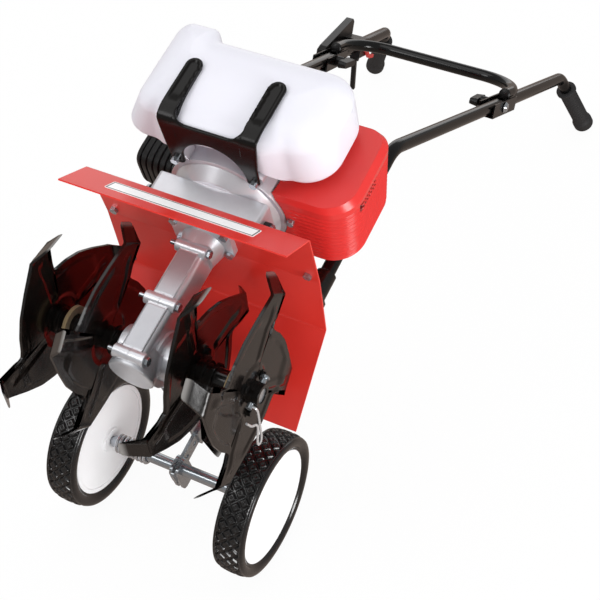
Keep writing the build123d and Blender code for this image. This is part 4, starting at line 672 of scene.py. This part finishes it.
# One outline for each step back, drawn in by the grooves and by the rounded back edge. The end outlines
# shrink to a seam at the engine to close the faces, and the side makes room for the round fan housing.
def coverSheet(look, inset):
    y = np.linspace(look["front"], look["back"], look["rows"])
    rib = (y - look["start"]) / look["pitch"]
    ribbedRun = (ramp(y, look["start"] - look["pitch"], look["start"] - look["pitch"] / 2)
                 * (1 - ramp(rib, look["ribs"] - 0.5, look["ribs"])))
    cut = look["depth"] * ribbedRun * ramp(np.abs(rib - np.round(rib)) * look["pitch"], 0, look["width"])
    last = np.clip((y - look["back"] + look["backRound"]) / look["backRound"], 0, 1)
    backCurve = look["backRound"] * (1 - np.sqrt(1 - last ** 2))
    plainEnd = look["near"] + look["plain"]
    rings = []
    for step, sunk, curve in zip(y, cut, backCurve):
        plain = coverOutline(look, step, inset + curve)
        ribbed = coverOutline(look, step, inset + curve + sunk)
        ring = plain + (ribbed - plain) * ramp(plain[:, :1], plainEnd, plainEnd + look["plainFade"])
        rings.append(np.column_stack((ring[:, 0], np.full(len(ring), step), ring[:, 1])))
    rings = np.array(rings)
    fill = np.linspace(1, 0, look["faceRows"], endpoint=False)[::-1, None, None]
    seams = rings[[0, -1]]
    seams[..., 0] = look["near"]
    frontFace, backFace = (seam + (ring - seam) * fill for seam, ring in zip(seams, rings[[0, -1]]))
    sheet = np.concatenate((frontFace[:-1], rings, backFace[::-1][1:]))
    sheet[..., 1] = np.clip(sheet[..., 1], look["front"] + inset, look["back"] - inset)
    room = np.sqrt(np.maximum((look["fan"] + inset) ** 2 - sheet[..., 1] ** 2, 0))
    sheet[..., 0] = np.where(sheet[..., 2] < look["fanTop"], np.maximum(sheet[..., 0], room), sheet[..., 0])
    return sheet


# A band of slots in the outer wall: 1 inside a slot, where the wall is sunk and painted dark as shade
def coverVents(look, points):
    y, z = points[..., 1], points[..., 2]
    (y0, y1), (z0, z1) = look["ventY"], look["ventZ"]
    fade = look["ventFade"]
    band = (ramp(y, y0 - fade, y0 + fade) * (1 - ramp(y, y1 - fade, y1 + fade))
            * ramp(z, z0, z0 + fade) * (1 - ramp(z, z1 - fade, z1)))
    slot = np.abs((z - z0) / look["ventPitch"] % 1 - 0.5)
    return band * (1 - ramp(slot, *look["slotEdge"])) * (points[..., 0] > look["far"] - look["lowRound"])


# An outer and an inner sheet a wall apart, the outer one sunk in its slots, which carry painted shade
# through the mask
def buildCover(look):
    outer, inner = coverSheet(look, 0), coverSheet(look, look["wall"])
    vents = coverVents(look, outer)
    outer[..., 0] -= vents * look["ventDepth"]
    points, faces = closedShell(outer, inner)
    # the slot mask paints the slots near black as shade
    mask = np.concatenate((vents.ravel(), np.zeros(vents.size)))
    return makePiece("moulded_cover", place(points), faces, "redAbs", "frame", ("engine_cover",),
                     crease=40, mask=mask)


buildCover(coverLook)
print("cover done")

# Milled strips on the front of the gear case, between its bosses
stripLook = dict(half=12.4, front=-24.5, thick=0.35, sunk=1, bosses=(-29, 48, 127), clear=9, corner=2.5,
                 steps=24, softEdge=(-0.2, 0.5))


# A rectangle with round corners from boss to boss, its front raised a little and eased at the edge
def buildStrips(look):
    strips = []
    for low, high in zip(look["bosses"][:-1], look["bosses"][1:]):
        x = easedSteps(-look["half"], look["half"], look["steps"])
        drop = cornerDrop(look["half"] - np.abs(x), look["corner"])
        across, up, edge = edgeGrid(x, low + look["clear"] + drop, high - look["clear"] - drop,
                                    look["steps"])
        front = look["front"] - look["thick"] * ramp(edge, *look["softEdge"])
        back = np.full_like(up, look["front"] + look["sunk"])
        strips.append(closedShell(*(np.stack((across, y, up), axis=-1) for y in (front, back))))
    points, faces = joined(strips)
    return makePiece("milled_strips", place(points), faces, "milledAluminium", "frame")


buildStrips(stripLook)
print("strips done")

# Air filter cover: a rounded box that narrows to the left, with grooves round it
filterLook = dict(right=-84, lip=14, depth=62, back=42, level=276, wide=(80, 92), narrow=(62, 72),
                  grooves=6, groove=2.2, grooveEdge=(0.34, 0.42), rows=90, steps=72, power=4.5, edge=6)


# A circle made squarer by a power, scaled to each step's width and height less the grooves, with flat ends
def buildFilter(look):
    t = np.linspace(0, 1, look["rows"])[:, None]
    along = t * (look["lip"] + look["depth"])
    narrowing = np.clip((along - look["lip"]) / look["depth"], 0, 1)
    comb = np.abs(narrowing * look["grooves"] % 1 - 0.5)
    sunk = (look["groove"] * ramp(comb, *look["grooveEdge"]) * (along > look["lip"])
            + cornerDrop((1 - t) * look["depth"], look["edge"]))
    angle = np.linspace(0, 2 * math.pi, look["steps"], endpoint=False)[None, :]
    power = look["power"]
    square = (np.abs(np.cos(angle)) ** power + np.abs(np.sin(angle)) ** power) ** (-1 / power)
    y, z = ((wide + (narrow - wide) * narrowing) / 2 - sunk
            for wide, narrow in zip(look["wide"], look["narrow"]))
    points = np.stack(np.broadcast_arrays(look["right"] - along, look["back"] + y * square * np.cos(angle),
                                          look["level"] + z * square * np.sin(angle)), axis=-1)
    count = look["steps"]
    faces = gridFaces(look["rows"], count, False, True)
    faces += [list(range(count))[::-1], list(range((look["rows"] - 1) * count, look["rows"] * count))]
    return makePiece("filter_cover", place(points), faces, "blackNylon", "frame", ("air_filter",))


buildFilter(filterLook)
print("air filter done")

# Blank label on the guard's front flange: white film with a thin dark border line
labelLook = dict(half=100, height=23, thick=0.6, corner=2, middle=(-94.5, 134), rise=(37, 48), lift=1.0,
                 line=(1.2, 2.7), lineFade=0.3, columns=420, rows=70)


# A rectangle with round corners along the flange's slope; the line is a band at a distance from the edge
def buildLabel(look):
    x = np.linspace(-look["half"], look["half"], look["columns"])
    drop = cornerDrop(look["half"] - np.abs(x), look["corner"])
    half = look["height"] / 2
    across, up, edge = edgeGrid(x, -half + drop, half - drop, look["rows"])
    rise = np.array(look["rise"]) / np.hypot(*look["rise"])
    out = np.array((-rise[1], rise[0]))
    shells = []
    for lift in (look["lift"] + look["thick"], look["lift"]):
        spread = np.array(look["middle"]) + up[..., None] * rise + lift * out
        shells.append(np.concatenate((across[..., None], spread), axis=-1))
    points, faces = closedShell(*shells)
    low, high = look["line"]
    border = ramp(edge, low - look["lineFade"], low) * (1 - ramp(edge, high, high + look["lineFade"]))
    mask = np.concatenate((border.ravel(), np.zeros(border.size)))
    return makePiece("blank_label", place(points), faces, "whiteVinyl", "frame", ("label_strip",),
                     crease=40, mask=mask)


buildLabel(labelLook)
print("label done")

# Spring clips: bent wire through the clevis pins, a straight leg and a wavy one that grips the hub.
# The route is in (rearward, up) from the pin.
clipLook = dict(station=142.5, inner=3, outer=9, level=-17, wire=1.6, sides=10, passes=4,
                route=((0, 0), (14, -1), (34, -5), (58, -9), (65, -13), (65, -19), (58, -20), (44, -14),
                       (33, -9), (24, -10), (14, -18), (4, -21), (-6, -24)))


# Wire along the rounded route, from inside the pin, once for each side
def buildClips(look):
    wires = []
    for _, hand in hands:
        inner, outer = hand * (look["station"] - look["inner"]), hand * (look["station"] + look["outer"])
        corners = [(inner, stance["tineShaftBack"], look["level"])]
        corners += [(outer, stance["tineShaftBack"] + y, look["level"] + z) for y, z in look["route"]]
        wires.append(wireMesh(place(rounded(corners, look["passes"])), look["wire"], look["sides"]))
    points, faces = joined(wires)
    return makePiece("hitch_clips", points, faces, "brightWire", "tines", ("spring_clips",))


buildClips(clipLook)
print("clips done")

# Plastic plugs in the ends of the cross bar. Low and top are the ends of the handle tube that carries it,
# joint is the fold's distance up the tube, and the profile is in (distance out, radius).
plugLook = dict(low=(122, 106, 430), top=(176, 575, 991), joint=400, start=30, lift=13.5, steps=32,
                profile=((-6, 8.3), (0, 8.3), (0, 9.9), (1.4, 9.9), (3.2, 8.4), (4.2, 5), (4.5, 0.3)))


# The profile turned round a line beside each handle tube, facing back down it
def buildPlugs(look):
    plugs = []
    for _, hand in hands:
        low, top = (np.array(look[end], float) * (hand, 1, 1) for end in ("low", "top"))
        along = (top - low) / np.linalg.norm(top - low)
        side = np.array((1.0, 0, 0)) - along * along[0]
        side /= np.linalg.norm(side)
        end = low + along * (look["joint"] + look["start"]) - np.cross(along, side) * look["lift"]
        plugs.append(turned(end, -along, look["profile"], look["steps"]))
    points, faces = joined(plugs)
    return makePiece("bar_plugs", place(points), faces, "blackNylon", "upper_handle")


buildPlugs(plugLook)
print("plugs done")

# Softer edges on the small mouldings: widths in mm, the least angle in degrees
softLook = dict(segments=3, angle=40, widths=dict(throttle_housing=4, throttle_trigger=1.6,
                                                  wing_knob_left=1.5, wing_knob_right=1.5))
for name, width in softLook["widths"].items():
    soft = nodes[name].modifiers.new("soft_edges", "BEVEL")
    soft.width = width / mmPerMetre
    soft.segments = softLook["segments"]
    soft.limit_method = "ANGLE"
    soft.angle_limit = math.radians(softLook["angle"])
print("edges softened")

# Grips: turned rubber sleeves with rings, a collar and a rounded end. Bend is where the tube turns into the
# grip. The rings' end, the knob and the dimple are measured from the far end.
gripLook = dict(bend=(176, 575, 991), heading=(0.31, 0.941, 0.1375), radius=15.5, flare=18.5, roundEnd=5,
                length=118, rings=13, ringDepth=0.9, ringPower=3, ringFrom=12, ringSpare=38,
                ringStart=(10, 14), ringEnd=(28, 24), collarStart=(-1.5, 2), collarEnd=(6, 9.5),
                knob=(24, 16), rows=150, capSteps=9, sides=48, mouth=((2.0, 10.7), (0.0, 10.9)),
                dimple=((0.6, 6), (1.2, 0.3)))


# The grip ends where its round end touches the floor. Its radius is the sleeve, less a cosine comb of
# rings, plus the collar and the knob; a quarter circle closes it.
def buildGrip(word, hand, look):
    heading = np.array(look["heading"]) * (hand, 1, 1)
    heading /= np.linalg.norm(heading)
    fall = -(heading @ np.stack((rightward, rearward, upward)))[2]
    bend = np.array(look["bend"], float) * (hand, 1, 1)
    height = place(bend)[2] * mmPerMetre
    length, flare, roundEnd = look["length"], look["flare"], look["roundEnd"]
    centre = roundEnd + (flare - roundEnd) * math.sqrt(1 - fall ** 2)
    run = (height - centre) / fall + roundEnd
    start = bend + heading * (run - length)
    along = np.linspace(0, 1, look["rows"]) * (length - roundEnd)
    wave = np.cos(2 * math.pi * look["rings"] * (along - look["ringFrom"]) / (length - look["ringSpare"]))
    ringEnd = ramp(along, *(length - end for end in look["ringEnd"]))
    ringRun = ramp(along, *look["ringStart"]) * (1 - ringEnd)
    sleeve = look["radius"] - look["ringDepth"] * (0.5 + 0.5 * wave) ** look["ringPower"] * ringRun
    swell = flare - look["radius"]
    collar = swell * (1 - ramp(along, *look["collarEnd"])) * ramp(along, *look["collarStart"])
    knob = swell * ramp(along, *(length - end for end in look["knob"]))
    body = np.stack((along, sleeve + collar + knob), axis=1)
    quarter = np.linspace(0, math.pi / 2, look["capSteps"])[1:]
    cap = np.stack((length - roundEnd + roundEnd * np.sin(quarter),
                    flare - roundEnd + roundEnd * np.cos(quarter)), axis=1)
    dimple = [(length - depth, radius) for depth, radius in look["dimple"]]
    profile = np.concatenate((look["mouth"], body, cap, dimple))
    points, faces = turned(start, heading, profile, look["sides"])
    faces += [list(range(look["sides"] * (len(profile) - 1), look["sides"] * len(profile)))]
    return makePiece("hand_grip_" + word, place(points), faces, "gripRubber", "upper_handle",
                     ("grip_" + word,), crease=40)


for word, hand in hands:
    buildGrip(word, hand, gripLook)
print("grips done")

# Axle spring: wire wound round the axle; the dead share of it at each end lies flat
springLook = dict(start=-98, end=-46, coil=11.6, wire=2.2, turns=8.5, steps=340, sides=10, dead=0.06,
                  ease=0.35)


# A helix round the axle whose pitch eases in and out
def buildSpring(look):
    t = np.linspace(0, 1, look["steps"])
    angle = 2 * math.pi * look["turns"] * t
    run = look["end"] - look["start"] - 2 * look["wire"]
    live = np.clip((t - look["dead"]) / (1 - 2 * look["dead"]), 0, 1)
    x = look["start"] + look["wire"] + run * ramp(t, 0, 1) * look["ease"] + run * (1 - look["ease"]) * live
    path = place(np.stack((x, stance["wheelBack"] + look["coil"] * np.cos(angle),
                           -stance["wheelDrop"] + look["coil"] * np.sin(angle)), axis=1))
    points, faces = wireMesh(path, look["wire"], look["sides"])
    return makePiece("coil_spring", points, faces, "drawnSteel", "wheel_carrier", ("axle_spring",))


buildSpring(springLook)
print("spring done")

# Camera where the photograph was taken from, on a square frame
cameraLook = dict(place=(0.630, -1.373, 1.440), forward=(-0.3265, 0.6446, -0.6914), lens=75, sensor=36)
camera = bpy.data.cameras.new("camera")
camera.lens = cameraLook["lens"]
camera.sensor_width = cameraLook["sensor"]
camera.sensor_fit = "HORIZONTAL"
eye = bpy.data.objects.new("camera", camera)
eye.location = cameraLook["place"]
eye.rotation_mode = "QUATERNION"
eye.rotation_quaternion = Vector(cameraLook["forward"]).to_track_quat("-Z", "Y")
bpy.context.scene.collection.objects.link(eye)
bpy.context.scene.camera = eye

# Pale floor: white to the camera, with a faint shadow; dull in reflections, as in the photograph
floorLook = dict(half=30, white="#FFFFFF", matt="#F0F0F0", mirrored="#A4968D", kept=0.95)
half = floorLook["half"]
floorMesh = bpy.data.meshes.new("floor")
floorCorners = [(-half, -half, 0), (half, -half, 0), (half, half, 0), (-half, half, 0)]
floorMesh.from_pydata(floorCorners, [], [(0, 1, 2, 3)])
floor = bpy.data.objects.new("floor", floorMesh)
bpy.context.scene.collection.objects.link(floor)
floorPaint = bpy.data.materials.new("paleFloor")
floorPaint.use_nodes = True
tree = floorPaint.node_tree
tree.nodes.clear()
path = addNode(tree, "LightPath", {})
share = addNode(tree, "Math", {"operation": "MULTIPLY", 1: floorLook["kept"]}, (path, "Is Camera Ray", 0))
matt = addNode(tree, "BsdfDiffuse", {"Color": linear(floorLook["matt"])})
glow = addNode(tree, "Emission", {"Color": linear(floorLook["white"]), "Strength": 1.0})
dark = addNode(tree, "Emission", {"Color": linear(floorLook["mirrored"]), "Strength": 1.0})
lit = addNode(tree, "MixShader", {}, (path, "Is Glossy Ray", 0), (matt, 0, 1), (dark, 0, 2))
mixed = addNode(tree, "MixShader", {}, (share, 0, 0), (lit, 0, 1), (glow, 0, 2))
addNode(tree, "OutputMaterial", {}, (mixed, 0, "Surface"))
floorMesh.materials.append(floorPaint)

# Plain studio light: an even world, dimmer in reflections and white to the camera, and four soft boxes
worldLook = dict(colour="#FFFFFF", even=0.8, dim=0.32, white=1.0)
world = bpy.data.worlds.new("studio")
bpy.context.scene.world = world
world.use_nodes = True
tree = world.node_tree
tree.nodes.clear()
path = addNode(tree, "LightPath", {})
even, dim, white = (addNode(tree, "Background",
                            {"Color": linear(worldLook["colour"]), "Strength": worldLook[level]})
                    for level in ("even", "dim", "white"))
room = addNode(tree, "MixShader", {}, (path, "Is Glossy Ray", 0), (even, 0, 1), (dim, 0, 2))
mixed = addNode(tree, "MixShader", {}, (path, "Is Camera Ray", 0), (room, 0, 1), (white, 0, 2))
addNode(tree, "OutputWorld", {}, (mixed, 0, "Surface"))

# each lamp's name, place and size in metres, and watts; all of them face the middle of the tiller
lampLook = (("keyBox", (-1.6, -2.2, 2.6), (1.2, 1.2), 17), ("topBox", (-0.75, -0.25, 3.0), (2.4, 2.4), 18),
            ("sideBox", (2.8, -1.5, 0.8), (1.0, 1.2), 52), ("backBox", (-0.9, 2.8, 0.7), (2.6, 1.8), 14))
lampTarget = Vector((0, 0, 0.25))
for name, spotAt, size, watts in lampLook:
    lamp = bpy.data.lights.new(name, "AREA")
    lamp.shape = "RECTANGLE"
    lamp.size, lamp.size_y = size
    lamp.energy = watts
    box = bpy.data.objects.new(name, lamp)
    box.location = spotAt
    box.rotation_mode = "QUATERNION"
    box.rotation_quaternion = (lampTarget - Vector(spotAt)).to_track_quat("-Z", "Y")
    bpy.context.scene.collection.objects.link(box)
bpy.context.scene.view_settings.view_transform = "Standard"
print("camera, floor and light done")
